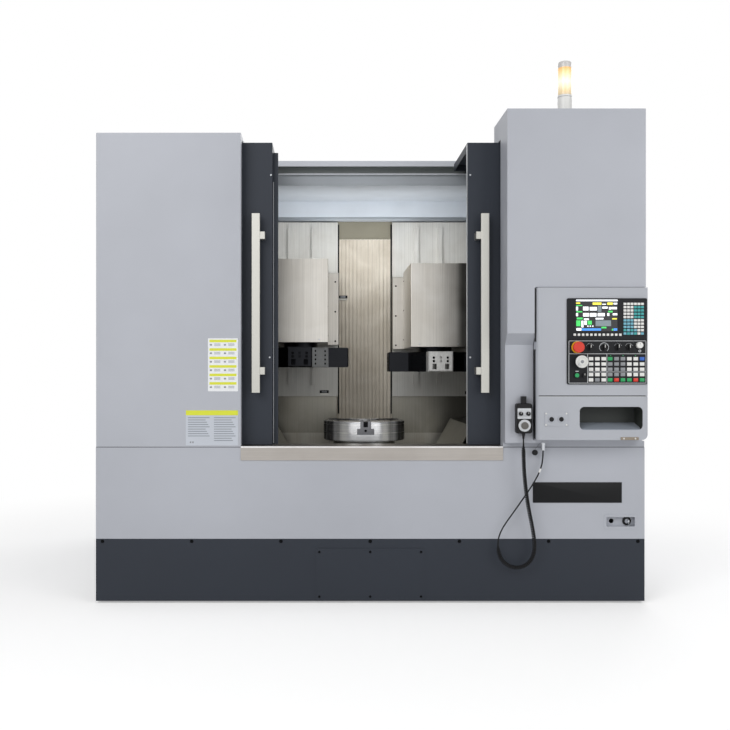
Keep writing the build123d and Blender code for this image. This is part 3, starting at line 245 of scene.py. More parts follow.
@dataclass(frozen=True)
class Finish:
    """A surface finish that is made once and shared by the pieces that wear it.

    Args:
        name: the material's name.
        colour: its sRGB hex code.
        roughness: how dull it is.
        give: how far its pattern takes the roughness down and up.
        spread: how far its pattern takes the tone down and up, as a share.
        stops: where on the pattern the dark and the light tone lie.
        relief: the bump's strength and its depth in millimetres.
    """

    name: str
    colour: str
    roughness: float = 0.4
    give: tuple[float, float] = (0.05, 0.05)
    spread: float = 0.1
    stops: tuple[float, float] = (0.3, 0.7)
    relief: tuple[float, float] = (0.1, 0.2)

    def dress(self, skin: Skin) -> None:
        """Fills the tree; each kind of finish has its own way."""
        raise NotImplementedError

    def material(self) -> bpy.types.Material:
        """The finish's material, made at its first use."""
        found = bpy.data.materials.get(self.name)
        if found is None:
            found = bpy.data.materials.new(self.name)
            tree = empty_tree(found)
            shader = add_node(tree, "BsdfPrincipled")
            add_node(tree, "OutputMaterial", {"Surface": shader.outputs[0]})
            found.diffuse_color = linear(self.colour)
            self.dress(Skin(tree, shader))
        return found

    def tone(self, skin: Skin, pattern: Socket) -> Socket:
        """The finish's colour, a little darker and lighter by a pattern."""
        base, (low, high) = linear(self.colour), self.stops
        return skin.ramp(pattern, (low, scaled(base, 1 - self.spread)),
                         (high, scaled(base, 1 + self.spread)))

    def stain(self, skin: Skin, code: str, dark: float, grain_mm: float) -> Socket:
        """A second colour, cloudy down to a darker share of itself."""
        base = linear(code)
        return skin.ramp(skin.noise(grain_mm, 3.0), (0.3, scaled(base, dark)), (0.7, base))

    def lay(self, skin: Skin, colour: Socket, dulls: Socket, raises: Socket,
            normal: Optional[Socket] = None) -> None:
        """Sets colour, roughness and bump.

        Args:
            skin: the material's nodes.
            colour: the colour.
            dulls: the pattern in the roughness.
            raises: the pattern in the bump.
            normal: the normal that the bump starts from, if it isn't the shape's own.
        """
        strength, depth = self.relief
        bump = {"Strength": strength, "Distance": depth * MM, "Height": raises}
        if normal is not None:
            bump["Normal"] = normal
        low, high = self.roughness - self.give[0], self.roughness + self.give[1]
        skin.wear({"Base Color": colour, "Roughness": skin.span(dulls, low, high),
                   "Normal": skin.node("Bump", bump)})


@dataclass(frozen=True)
class PowderCoat(Finish):
    """Baked powder coat on folded steel: satin, a soft orange peel and a faint drift of tone.

    The peel is drawn coarse so that it shows.
    """

    roughness: float = 0.46
    give: tuple[float, float] = (0.05, 0.06)
    spread: float = 0.05
    relief: tuple[float, float] = (0.06, 0.4)
    peel_mm: float = 3.0
    drift_mm: float = 700.0
    sheen: float = 0.5

    def dress(self, skin: Skin) -> None:
        """Sets colour drift, satin roughness and orange peel."""
        drift = skin.noise(self.drift_mm, 3.0)
        self.lay(skin, self.tone(skin, drift), drift, skin.noise(self.peel_mm, 2.0))
        skin.wear({"IOR": PLASTIC_IOR, "Specular IOR Level": self.sheen})


@dataclass(frozen=True)
class PaintedRecessShadeCoat(PowderCoat):
    """Powder coat with painted shade over one recess: what lies within it is coloured dark, as if
    no light reached in.

    Args:
        across: the recess's span in X.
        rise: its span in Z.
        mouth: the Y behind which it lies.
        inner: the painted shade's colour.
    """

    across: tuple[float, float] = (0.0, 0.0)
    rise: tuple[float, float] = (0.0, 0.0)
    mouth: float = 0.0
    inner: str = "#2F3331"

    def dress(self, skin: Skin) -> None:
        """Dresses the coat and lays the dark tone of painted shade over what lies within the
        recess.
        """
        super().dress(skin)
        shade_mask = skin.sum("GREATER_THAN", skin.axis("Y"), self.mouth)
        for axis, span in (("X", self.across), ("Z", self.rise)):
            for side, limit in zip(("GREATER_THAN", "LESS_THAN"), span):
                shade_mask = skin.sum("MULTIPLY", shade_mask, skin.sum(side, skin.axis(axis), limit))
        skin.wear({"Base Color": skin.mix(shade_mask, skin.worn(), linear(self.inner))})


@dataclass(frozen=True)
class PaintedShade:
    """Painted shade: a tone that falls off along one axis, darker where less light falls.

    Args:
        axis: "X", "Y" or "Z".
        start: where the tone is at its lowest.
        stop: where the tone is whole again.
        level: how much of the tone is left at the start.
    """

    axis: str
    start: float
    stop: float
    level: float

    def over(self, skin: Skin, colour: Socket) -> Socket:
        """Multiplies a colour by the painted shade's fall.

        Args:
            skin: the material's nodes.
            colour: the colour's socket.

        Returns:
            The shaded colour's socket.
        """
        return skin.times(colour, skin.span(skin.axis(self.axis), self.level, 1.0, self.start,
                                            self.stop, smooth=True))


@dataclass(frozen=True)
class RolledSteel(Finish):
    """Rolled stainless sheet: long fine lines one way, cloudy smears and a broad soft shine.

    Args:
        run: which way the lines run.
        line_mm: how wide they are.
        smear_mm: how large the smears are.
        smear: how dark the smears are, as a share.
        metal: how metallic it is.
        painted_shade: where its tone falls off.
        worn: how far its shading is turned to the front, as if its ribs were worn flat.
    """

    roughness: float = 0.34
    give: tuple[float, float] = (0.08, 0.12)
    stops: tuple[float, float] = (0.36, 0.64)
    relief: tuple[float, float] = (0.10, 0.15)
    run: Run = Run.UPRIGHT
    line_mm: float = 2.2
    smear_mm: float = 160.0
    smear: float = 0.10
    metal: float = 1.0
    painted_shade: tuple[PaintedShade, ...] = ()
    worn: float = 0.0

    VEIL = (0.9, 1.0, 1.15)

    def dress(self, skin: Skin) -> None:
        """Stretches one noise into lines and lays cloudy smears over it."""
        run = skin.node("Mapping", {"Scale": self.run.value, "Vector": skin.place()})
        lines = skin.noise(self.line_mm, 4.0, run, Roughness=0.6)
        cloud = skin.noise(self.smear_mm, 5.0, Distortion=0.6)
        veil = tuple(1.0 - self.smear * share for share in self.VEIL) + (1.0,)
        colour = skin.times(self.tone(skin, lines), skin.ramp(cloud, (0.34, veil), (0.66, FULL)))
        for fall in self.painted_shade:
            colour = fall.over(skin, colour)
        flat = None
        if self.worn:
            true = skin.node("NewGeometry", out="Normal")
            flat = skin.vector("NORMALIZE", skin.node(
                "Mix", {"data_type": "VECTOR", 0: self.worn, 4: true, 5: (0.0, -1.0, 0.0)}, 1))
        self.lay(skin, colour, cloud, lines, flat)
        skin.wear({"Metallic": self.metal})


@dataclass(frozen=True)
class TwoToneSheet(RolledSteel):
    """Rolled sheet that is bare up to a height and coated or stained above it; both parts take
    painted shade.
    """

    seam: float = 2.28
    upper: str = "#D3DAE2"
    upper_metal: float = 0.0
    upper_painted_shade: tuple[PaintedShade, ...] = ()

    def dress(self, skin: Skin) -> None:
        """Dresses the bare sheet and lays the upper tone over it from the seam up."""
        super().dress(skin)
        above = skin.span(skin.axis("Z"), 0.0, 1.0, self.seam - 0.5 * MM, self.seam + 0.5 * MM)
        over = self.stain(skin, self.upper, 0.93, self.smear_mm)
        for fall in self.upper_painted_shade:
            over = fall.over(skin, over)
        skin.wear({"Base Color": skin.mix(above, skin.worn(), over),
                   "Metallic": skin.span(above, self.metal, self.upper_metal)})


@dataclass(frozen=True)
class TurnedSteel(Finish):
    """Steel turned on a lathe: fine rings round one axis, and painted highlight and shade round it.

    Args:
        axis: X and Y of the axis.
        ring_mm: how wide the rings are, which are drawn coarse.
        painted_fan: how dark the painted shade is between the two painted bright lobes, front and
            back.
        metal: how metallic it is.
    """

    roughness: float = 0.22
    give: tuple[float, float] = (0.05, 0.1)
    spread: float = 0.16
    stops: tuple[float, float] = (0.35, 0.65)
    relief: tuple[float, float] = (0.22, 0.15)
    axis: tuple[float, float] = (0.0, 0.0)
    ring_mm: float = 3.0
    painted_fan: float = 0.0
    metal: float = 1.0

    FLATTEN = (1.0, 1.0, 0.6)
    # The painted highlight's streaks and the weight of its two lobes.
    RAYS = 4.5
    LOBES = -0.35

    def dress(self, skin: Skin) -> None:
        """Cuts rings by the distance from the axis and paints highlight and shade into the tone by
        the angle round it.
        """
        moved = skin.about(self.axis)
        away = skin.vector("LENGTH", skin.vector("MULTIPLY", moved, self.FLATTEN), out="Value")
        rings = skin.lines(per_metre(self.ring_mm), 2.0, away)
        turn = skin.sum("ARCTAN2", skin.axis("Y", moved), skin.axis("X", moved))
        wave = skin.sum("COSINE", skin.sum("MULTIPLY", turn, 2.0))
        lobes = skin.sum("MULTIPLY_ADD", wave, self.LOBES, skin.lines(self.RAYS, 3.0, turn))
        painted_fan = skin.ramp(lobes, (0.34, scaled(FULL, 1.0 - self.painted_fan)), (0.66, FULL))
        self.lay(skin, skin.times(self.tone(skin, rings), painted_fan), rings, rings)
        skin.wear({"Metallic": self.metal})


@dataclass(frozen=True)
class MachinedMetal(Finish):
    """Milled, ground, plated or blackened metal: small random cutter marks, drawn coarse."""

    roughness: float = 0.35
    give: tuple[float, float] = (0.07, 0.1)
    spread: float = 0.12
    relief: tuple[float, float] = (0.12, 0.2)
    mark_mm: float = 4.0

    def dress(self, skin: Skin) -> None:
        """Lays small marks in tone, roughness and bump."""
        marks = skin.noise(self.mark_mm, 4.0)
        self.lay(skin, self.tone(skin, marks), marks, marks)
        skin.wear({"Metallic": 1.0})


@dataclass(frozen=True)
class FacetSteel(MachinedMetal):
    """Blackened tool steel with one side of it ground bright.

    Args:
        axis: X and Y of the piece's axis.
        facing: the way the bright side looks.
        beyond: how far from the axis it lies.
        bright: its colour.
    """

    axis: tuple[float, float] = (0.0, 0.0)
    facing: tuple[float, float] = (0.0, -1.0)
    beyond: float = 0.17
    bright: str = "#D8D8D6"

    GROUND_METAL = 0.35

    def dress(self, skin: Skin) -> None:
        """Dresses the blackened steel and brightens what lies beyond a distance from the axis."""
        super().dress(skin)
        reach = skin.vector("DOT_PRODUCT", skin.about(self.axis), (*self.facing, 0.0), out="Value")
        ground = skin.span(reach, 0.0, 1.0, self.beyond - 0.2 * MM, self.beyond)
        shine = self.stain(skin, self.bright, 0.85, self.mark_mm * 3)
        skin.wear({"Base Color": skin.mix(ground, skin.worn(), shine),
                   "Metallic": skin.span(ground, 1.0, self.GROUND_METAL)})


@dataclass(frozen=True)
class MouldedPlastic(Finish):
    """Moulded ABS, nylon or rubber: even colour, fine spark-eroded grain, drawn coarse."""

    roughness: float = 0.42
    give: tuple[float, float] = (0.04, 0.05)
    spread: float = 0.08
    relief: tuple[float, float] = (0.10, 0.2)
    grain_mm: float = 1.2
    sheen: float = 0.5

    def dress(self, skin: Skin) -> None:
        """Grains the surface and varies its tone by a hair."""
        grain = skin.noise(self.grain_mm, 2.0)
        self.lay(skin, self.tone(skin, grain), grain, grain)
        skin.wear({"IOR": PLASTIC_IOR, "Specular IOR Level": self.sheen})


@dataclass(frozen=True)
class LitField(Finish):
    """A lit patch of a display: even colour from behind glass, with a faint pixel weave."""

    roughness: float = 0.25
    stops: tuple[float, float] = (0.0, 0.6)
    glow: float = 0.75
    cell_mm: float = 2.0

    def dress(self, skin: Skin) -> None:
        """Gives off its colour in small cells, which are drawn coarse so that they show."""
        cells = skin.node("TexVoronoi", {"Scale": per_metre(self.cell_mm), "Vector": skin.place()})
        tone = self.tone(skin, cells)
        skin.wear({"Base Color": tone, "Emission Color": tone, "Emission Strength": self.glow,
                   "Roughness": self.roughness})


@dataclass(frozen=True)
class ClearSheet(Finish):
    """Clear toughened glass: smooth, hardly tinted, with a trace of wiped smears."""

    smear_mm: float = 220.0
    haze: tuple[float, float] = (0.01, 0.08)

    def dress(self, skin: Skin) -> None:
        """Lets light through and roughens the smears a little."""
        skin.wear({"Roughness": skin.span(skin.noise(self.smear_mm, 4.0), *self.haze),
                   "Base Color": linear(self.colour), "Transmission Weight": 1.0, "IOR": GLASS_IOR})


@dataclass(frozen=True)
class LampLens(Finish):
    """A moulded lamp lens, lit amber up to a clear cap: hottest below its middle, ribbed round."""

    roughness: float = 0.12
    foot: float = 2.767
    top: float = 2.950
    ribs: float = 1000.0 / 120.0
    glow: float = 0.45

    TINTS = ((0.0, "#EFD8B4"), (0.10, "#F7DFA9"), (0.40, "#FFF8E4"), (0.68, "#FBD797"),
             (0.80, "#EDBE78"), (0.83, "#D5D2CF"))
    HEAT = ((0.0, "#4A3F2C"), (0.40, "#FFF1D2"), (0.80, "#D9A050"), (0.83, "#000000"))

    def dress(self, skin: Skin) -> None:
        """Runs the lit colours up the lens and cuts fine ribs across it."""
        height = skin.span(skin.axis("Z"), 0.0, 1.0, self.foot, self.top)
        tint, heat = (skin.ramp(height, *((at, linear(code)) for at, code in stops))
                      for stops in (self.TINTS, self.HEAT))
        ribs = skin.node("TexWave", {"bands_direction": "Z", "Scale": self.ribs,
                                     "Vector": skin.place()})
        skin.wear({"Base Color": tint, "Emission Color": heat, "Emission Strength": self.glow,
                   "Roughness": self.roughness,
                   "Normal": skin.node("Bump", {"Strength": 0.1, "Distance": 0.5 * MM,
                                                "Height": ribs})})


class Coats:
    """The finishes of this machine, named for what they are."""

    SPINDLE_AXIS = (0.0, APRON_Y + 0.8)
    PAPER = (0.02, 0.2)

    GREY = PowderCoat("grey_powder_coat", "#B4B7BF")
    # The pendant's coat, dark within its tray as painted shade.
    GREY_PAINTED_TRAY_SHADE = PaintedRecessShadeCoat("grey_powder_coat_painted_tray_shade", "#B1B4BB", across=(1.107, 1.447),
                          rise=(0.953, 1.080), mouth=APRON_Y - 0.1265, inner="#30332F")
    # The header rail's coat, darker in its channel as painted shade.
    GREY_PAINTED_RAIL_SHADE = PaintedRecessShadeCoat("grey_rail_painted_channel_shade", "#C8CBD3", across=(-2.0, 2.0), rise=(0.0, 3.0),
                          mouth=APRON_Y + 0.653, inner="#A9AEAE")
    CHARCOAL = PowderCoat("charcoal_powder_coat", "#2B3039", roughness=0.5, sheen=0.3)
    # The tray's dark coat: painted shade within the pendant's tray.
    PAINTED_TRAY_SHADE = PowderCoat("painted_tray_shade_coat", "#2F3331", roughness=0.55)
    MAT = PowderCoat("slate_tray_coat", "#98A0AB", roughness=0.6)
    ENAMEL = PowderCoat("casting_enamel", "#8F959B", roughness=0.38, peel_mm=9.0)
    # The saddles' sheet: darker towards the bottom as painted shade under the heads.
    STAINLESS = RolledSteel("rolled_stainless", "#DFDFDB", metal=0.7, roughness=0.5,
                            painted_shade=(PaintedShade("Z", 1.15, 1.75, 0.68),))
    CHUTE = RolledSteel("chute_stainless", "#A8A69F", smear=0.16)
    # Chamber sheet: lower steel drawn dark, partly for painted shade under the heads; darker to
    # both sides and, above the seam, to the front, as painted shade.
    LINER = TwoToneSheet("lined_chamber_sheet", "#8E8C84", seam=2.288, smear=0.16,
                         painted_shade=(PaintedShade("X", 0.62, 0.42, 0.62), PaintedShade("X", -0.64, -0.44, 0.62)),
                         upper_painted_shade=(PaintedShade("Y", APRON_Y + 0.67, APRON_Y + 1.16, 0.55),))
    # Column cover sheet: a little darker towards the bottom as painted shade.
    WARM = TwoToneSheet("streaked_stainless", "#E2DBCE", spread=0.05, line_mm=5.0, smear=0.18,
                        metal=0.3, roughness=0.6, worn=0.7, seam=2.17, upper="#999585",
                        painted_shade=(PaintedShade("Z", 0.95, 1.55, 0.94),), upper_metal=0.4)
    HEAD = RolledSteel("head_cover_stainless", "#CBC8C2", smear=0.12, smear_mm=210.0)
    # Right head cover: darkened towards its right edge as painted shade.
    EDGEHEAD = RolledSteel("shaded_head_stainless", "#CBC8C2", smear=0.12, smear_mm=210.0,
                           painted_shade=(PaintedShade("X", 0.60, 0.545, 0.22),))
    LIP = RolledSteel("folded_lip_stainless", "#B4BBC2", run=Run.ACROSS, metal=0.6)
    STRIP = RolledSteel("tan_stainless_strip", "#8B8173", run=Run.ACROSS, metal=0.6)
    SILL = RolledSteel("brushed_sill_stainless", "#ABA6A1", run=Run.ACROSS, spread=0.05, smear=0.05)
    # A bright sheet for the strip on the sill's fold: painted highlight.
    PAINTED_BEND_HIGHLIGHT = RolledSteel("painted_bend_highlight_stainless", "#F4F3F3", run=Run.ACROSS, metal=0.25)
    # The chuck: strong painted highlight and shade round its axis.
    CHUCK = TurnedSteel("turned_chuck_steel", "#F3F6FC", axis=SPINDLE_AXIS, painted_fan=0.84, metal=0.66)
    SPINDLE = TurnedSteel("ground_spindle_steel", "#A9ABAD", axis=SPINDLE_AXIS)
    JAW = MachinedMetal("ground_jaw_steel", "#7E7F83", roughness=0.30)
    BLACKED = MachinedMetal("blackened_tool_steel", "#26272A", roughness=0.42)
    FRONTBLOCK = FacetSteel("tool_block_steel", "#26272A", roughness=0.42,
                            axis=(0.45, APRON_Y + 0.8), beyond=0.176)
    SIDEFACET = FacetSteel("turret_disc_steel", "#26272A", roughness=0.42,
                           axis=(-0.4, APRON_Y + 0.8), bright="#A9ABAC",
                           facing=(math.sqrt(0.5), -math.sqrt(0.5)))
    ALUMINIUM = MachinedMetal("satin_anodised_aluminium", "#B9B8B2", roughness=0.45, spread=0.05)
    ZINC = MachinedMetal("zinc_plated_screw", "#C3C6CA", roughness=0.30, mark_mm=1.5)
    OXIDE = MachinedMetal("black_oxide_screw", "#191A1C", roughness=0.45, mark_mm=1.5)
    RAIL = MachinedMetal("ground_rail_steel", "#AFB1B4", roughness=0.25)
    # Black plastic, and the dark strip in the pendant's front seam: painted shade.
    BLACK = MouldedPlastic("black_plastic_and_painted_shade", "#131315", sheen=0.25)
    PANEL = MouldedPlastic("black_panel_film", "#1A1B1E", roughness=0.45, sheen=0.2)
    # Black rubber, and the dark strips in gaps and joints: painted shade.
    RUBBER_AND_PAINTED_SHADE = MouldedPlastic("black_rubber_and_painted_shade", "#101012", roughness=0.55, grain_mm=2.5,
                            sheen=0.25)
    WHITE = MouldedPlastic("white_moulded_plastic", "#E9E9E6", roughness=0.35)
    # Silver print, and the bright strips on door edges and under a seam: painted highlight.
    SILVER = MouldedPlastic("silver_print_and_painted_highlight", "#D2D5D8", roughness=0.4)
    GREYKEY = MouldedPlastic("grey_key", "#8C8F93")
    TEAL = MouldedPlastic("teal_key", "#3FA6A6")
    SKY = MouldedPlastic("pale_blue_key", "#74B4C8")
    DIALCAP = MouldedPlastic("dark_grey_dial", "#5F5D59", roughness=0.38)
    GREEN = MouldedPlastic("green_key", "#1F9E5A")
    RED = MouldedPlastic("red_moulded_plastic", "#D8341F", roughness=0.3)
    BLUE = MouldedPlastic("blue_key", "#2E66C4")
    YELLOW = MouldedPlastic("yellow_print", "#F0B41E", roughness=0.4)
    LIME = MouldedPlastic("lime_print", "#DDE23A", roughness=0.5, relief=PAPER)
    CARD = MouldedPlastic("white_card", "#EEF0F2", roughness=0.5, relief=PAPER)
    PALECARD = MouldedPlastic("pale_grey_card", "#C6CBD4", roughness=0.5, relief=PAPER)
    INK = MouldedPlastic("grey_print", "#8A9099", roughness=0.5, relief=PAPER)
    PLATE = MouldedPlastic("black_name_plate", "#101113", roughness=0.4, sheen=0.2)
    GLASS = ClearSheet("toughened_glass", "#EAF1F0")
    LENS = LampLens("lit_amber_lens", "#FFC45A")
    DARKSCREEN = LitField("display_black", "#15171B", glow=0.15)
    WHITESCREEN = LitField("display_white", "#EDF1F5")
    YELLOWSCREEN = LitField("display_yellow", "#E8DC4A")
    GREENSCREEN = LitField("display_green", "#3DBE5B")
    BLUESCREEN = LitField("display_blue", "#3F86D8")
    GREYSCREEN = LitField("display_grey", "#6E7A80", glow=0.5)


@dataclass
class Piece:
    """One new mesh, put together from shapes that each have a finish.

    Args:
        name: the object's name.
    """

    name: str
    bm: bmesh.types.BMesh = field(default_factory=bmesh.new)
    finishes: list[Finish] = field(default_factory=list)

    # A screw's top radius, its height and its socket's steps in and down, as shares of its radius.
    SCREW_TOP = 0.72
    SCREW_RISE = 0.55
    SCREW_SOCKET = ((0.28, 0.0), (0.02, -0.3))

    def add(self, shape: bmesh.types.BMesh, finish: Finish, smooth_deg: float = 35.0) -> None:
        """Takes in a finished shape.

        Args:
            shape: the shape, which is freed.
            finish: what it wears.
            smooth_deg: edges flatter than this are shaded smooth.
        """
        if finish not in self.finishes:
            self.finishes.append(finish)
        bmesh.ops.recalc_face_normals(shape, faces=shape.faces[:])
        for face in shape.faces:
            face.material_index = self.finishes.index(finish)
            face.smooth = True
        limit = math.radians(smooth_deg)
        for edge in shape.edges:
            edge.smooth = len(edge.link_faces) == 2 and edge.calc_face_angle() < limit
        holder = bpy.data.meshes.new("holder")
        shape.to_mesh(holder)
        shape.free()
        self.bm.from_mesh(holder)
        bpy.data.meshes.remove(holder)

    def set_on(self, shape: bmesh.types.BMesh, centre: Point, facing: Point) -> None:
        """Moves a shape drawn about the origin so that its +Z looks a given way."""
        turn = Vector(facing).to_track_quat("Z", "Y").to_matrix().to_4x4()
        bmesh.ops.transform(shape, matrix=Matrix.Translation(centre) @ turn, verts=shape.verts[:])

    def block(self, low: Point, high: Point, finish: Finish, edge: float) -> None:
        """A bar or plate with its edges broken.

        Args:
            low: the lowest corner.
            high: the highest corner.
            finish: what it wears.
            edge: the width of the broken edges.
        """
        shape = bmesh.new()
        bmesh.ops.create_cube(shape, size=1.0)
        size = [b - a for a, b in zip(low, high)]
        middle = [(a + b) / 2 for a, b in zip(low, high)]
        bmesh.ops.scale(shape, vec=size, verts=shape.verts[:])
        bmesh.ops.bevel(shape, geom=shape.edges[:], offset=edge, offset_type="OFFSET", segments=2,
                        profile=0.5, affect="EDGES", material=-1, clamp_overlap=True)
        bmesh.ops.translate(shape, vec=middle, verts=shape.verts[:])
        self.add(shape, finish)

    def hull(self, points: Iterable[Point], finish: Finish) -> None:
        """The closed shape stretched over a few points.

        Args:
            points: its corners.
            finish: what it wears.
        """
        shape = bmesh.new()
        for point in points:
            shape.verts.new(point)
        bmesh.ops.convex_hull(shape, input=shape.verts)
        self.add(shape, finish)

    def stand_out(self, shape: bmesh.types.BMesh, centre: Point, thickness: float, finish: Finish,
                  crown: float = 0.0) -> None:
        """Thickens a flat shape drawn about the origin and stands it on a face to the front.

        Args:
            shape: the flat shape.
            centre: where its middle goes, on the face.
            thickness: how far it stands out.
            finish: what it wears.
            crown: how far its front is drawn in and raised, if it has one face.
        """
        raised = bmesh.ops.extrude_face_region(shape, geom=shape.faces[:])["geom"]
        bmesh.ops.translate(shape, vec=(0.0, 0.0, thickness),
                            verts=[v for v in raised if isinstance(v, bmesh.types.BMVert)])
        if crown > 0:
            top = max(shape.faces, key=lambda f: f.calc_center_median().z)
            bmesh.ops.inset_region(shape, faces=[top], thickness=crown, depth=0.5 * crown)
        turn = Matrix.Translation(centre) @ Matrix.Rotation(math.pi / 2, 4, "X")
        bmesh.ops.transform(shape, matrix=turn, verts=shape.verts[:])
        self.add(shape, finish)

    def arc(self, centre: Point, radii: tuple[float, float], span: tuple[float, float],
            thickness: float, finish: Finish, steps: int = 24) -> None:
        """A flat ring, or a stretch of one, on a face that looks to the front.

        Args:
            centre: its middle, on the face.
            radii: its inner and its outer radius.
            span: where it starts and ends, in degrees clockwise from straight up.
            thickness: how far it stands out.
            finish: what it wears.
            steps: the number of flats.
        """
        shape = bmesh.new()
        whole = span[1] - span[0] >= 360
        rows = []
        for n in range(steps if whole else steps + 1):
            turn = math.radians(span[0] + (span[1] - span[0]) * n / steps)
            rows.append([shape.verts.new((r * math.sin(turn), r * math.cos(turn), 0.0))
                         for r in radii])
        for a, b in zip(rows, rows[1:] + (rows[:1] if whole else [])):
            shape.faces.new((a[0], b[0], b[1], a[1]))
        self.stand_out(shape, centre, thickness, finish)

    def card(self, low: Point, high: Point, corner: float, thickness: float, finish: Finish,
             crown: float = 0.0) -> None:
        """A thin plate on an upright face, with round corners, standing out to the front.

        Args:
            low: X, Y and Z of its lowest corner, on the face.
            high: X and Z of its highest corner.
            corner: the corners' radius.
            thickness: how far it stands out.
            finish: what it wears.
            crown: how far its front is drawn in and raised.
        """
        shape = bmesh.new()
        bmesh.ops.create_grid(shape, x_segments=1, y_segments=1, size=0.5)
        width, height = high[0] - low[0], high[1] - low[2]
        bmesh.ops.scale(shape, vec=(width, height, 1.0), verts=shape.verts[:])
        if corner > 0:
            bmesh.ops.bevel(shape, geom=shape.verts[:], offset=corner, offset_type="OFFSET",
                            segments=4, profile=0.5, affect="VERTICES", material=-1)
        centre = ((low[0] + high[0]) / 2, low[1], (low[2] + high[1]) / 2)
        self.stand_out(shape, centre, thickness, finish, crown)

    def turned(self, profile_mm: Sequence[tuple[float, float]], centre: Point, facing: Point,
               finish: Finish, steps: int = 24) -> None:
        """A round shape spun from half of its section.

        Args:
            profile_mm: radius and height pairs from foot to top, in millimetres.
            centre: the middle of its foot.
            facing: the way its height points.
            finish: what it wears.
            steps: the number of sides.
        """
        shape = bmesh.new()
        line = [shape.verts.new((radius * MM, 0.0, height * MM)) for radius, height in profile_mm]
        edges = [shape.edges.new(pair) for pair in zip(line, line[1:])]
        bmesh.ops.spin(shape, geom=line + edges, cent=(0, 0, 0), axis=UP, angle=2 * math.pi,
                       steps=steps, use_merge=True)
        bmesh.ops.remove_doubles(shape, verts=shape.verts[:], dist=1e-6)
        bmesh.ops.holes_fill(shape, edges=[e for e in shape.edges if e.is_boundary], sides=0)
        self.set_on(shape, centre, facing)
        self.add(shape, finish)

    def screw(self, centre: Point, facing: Point, radius: float, finish: Finish) -> None:
        """A button-head screw with a sunk socket.

        Args:
            centre: the middle of its seat.
            facing: the way its head points.
            radius: the head's radius.
            finish: what it wears.
        """
        shape = bmesh.new()
        rise = self.SCREW_RISE * radius
        bmesh.ops.create_cone(shape, cap_ends=True, segments=12, radius1=radius,
                              radius2=self.SCREW_TOP * radius, depth=rise)
        bmesh.ops.translate(shape, vec=(0, 0, rise / 2), verts=shape.verts[:])
        top = max(shape.faces, key=lambda f: f.calc_center_median().z)
        for inward, depth in self.SCREW_SOCKET:
            bmesh.ops.inset_region(shape, faces=[top], thickness=inward * radius,
                                   depth=depth * radius)
        self.set_on(shape, centre, facing)
        self.add(shape, finish, 25.0)

    def done(self, body: str) -> bpy.types.Object:
        """Closes the piece and sets it on the body that carries it.

        Args:
            body: the CAD body that it moves with.

        Returns:
            The finished object.
        """
        mesh = bpy.data.meshes.new(self.name)
        self.bm.to_mesh(mesh)
        self.bm.free()
        for finish in self.finishes:
            mesh.materials.append(finish.material())
        made = show(self.name, mesh)
        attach(made, body)
        LOG.info("piece %s: %d faces on %s", self.name, len(mesh.polygons), body)
        return made


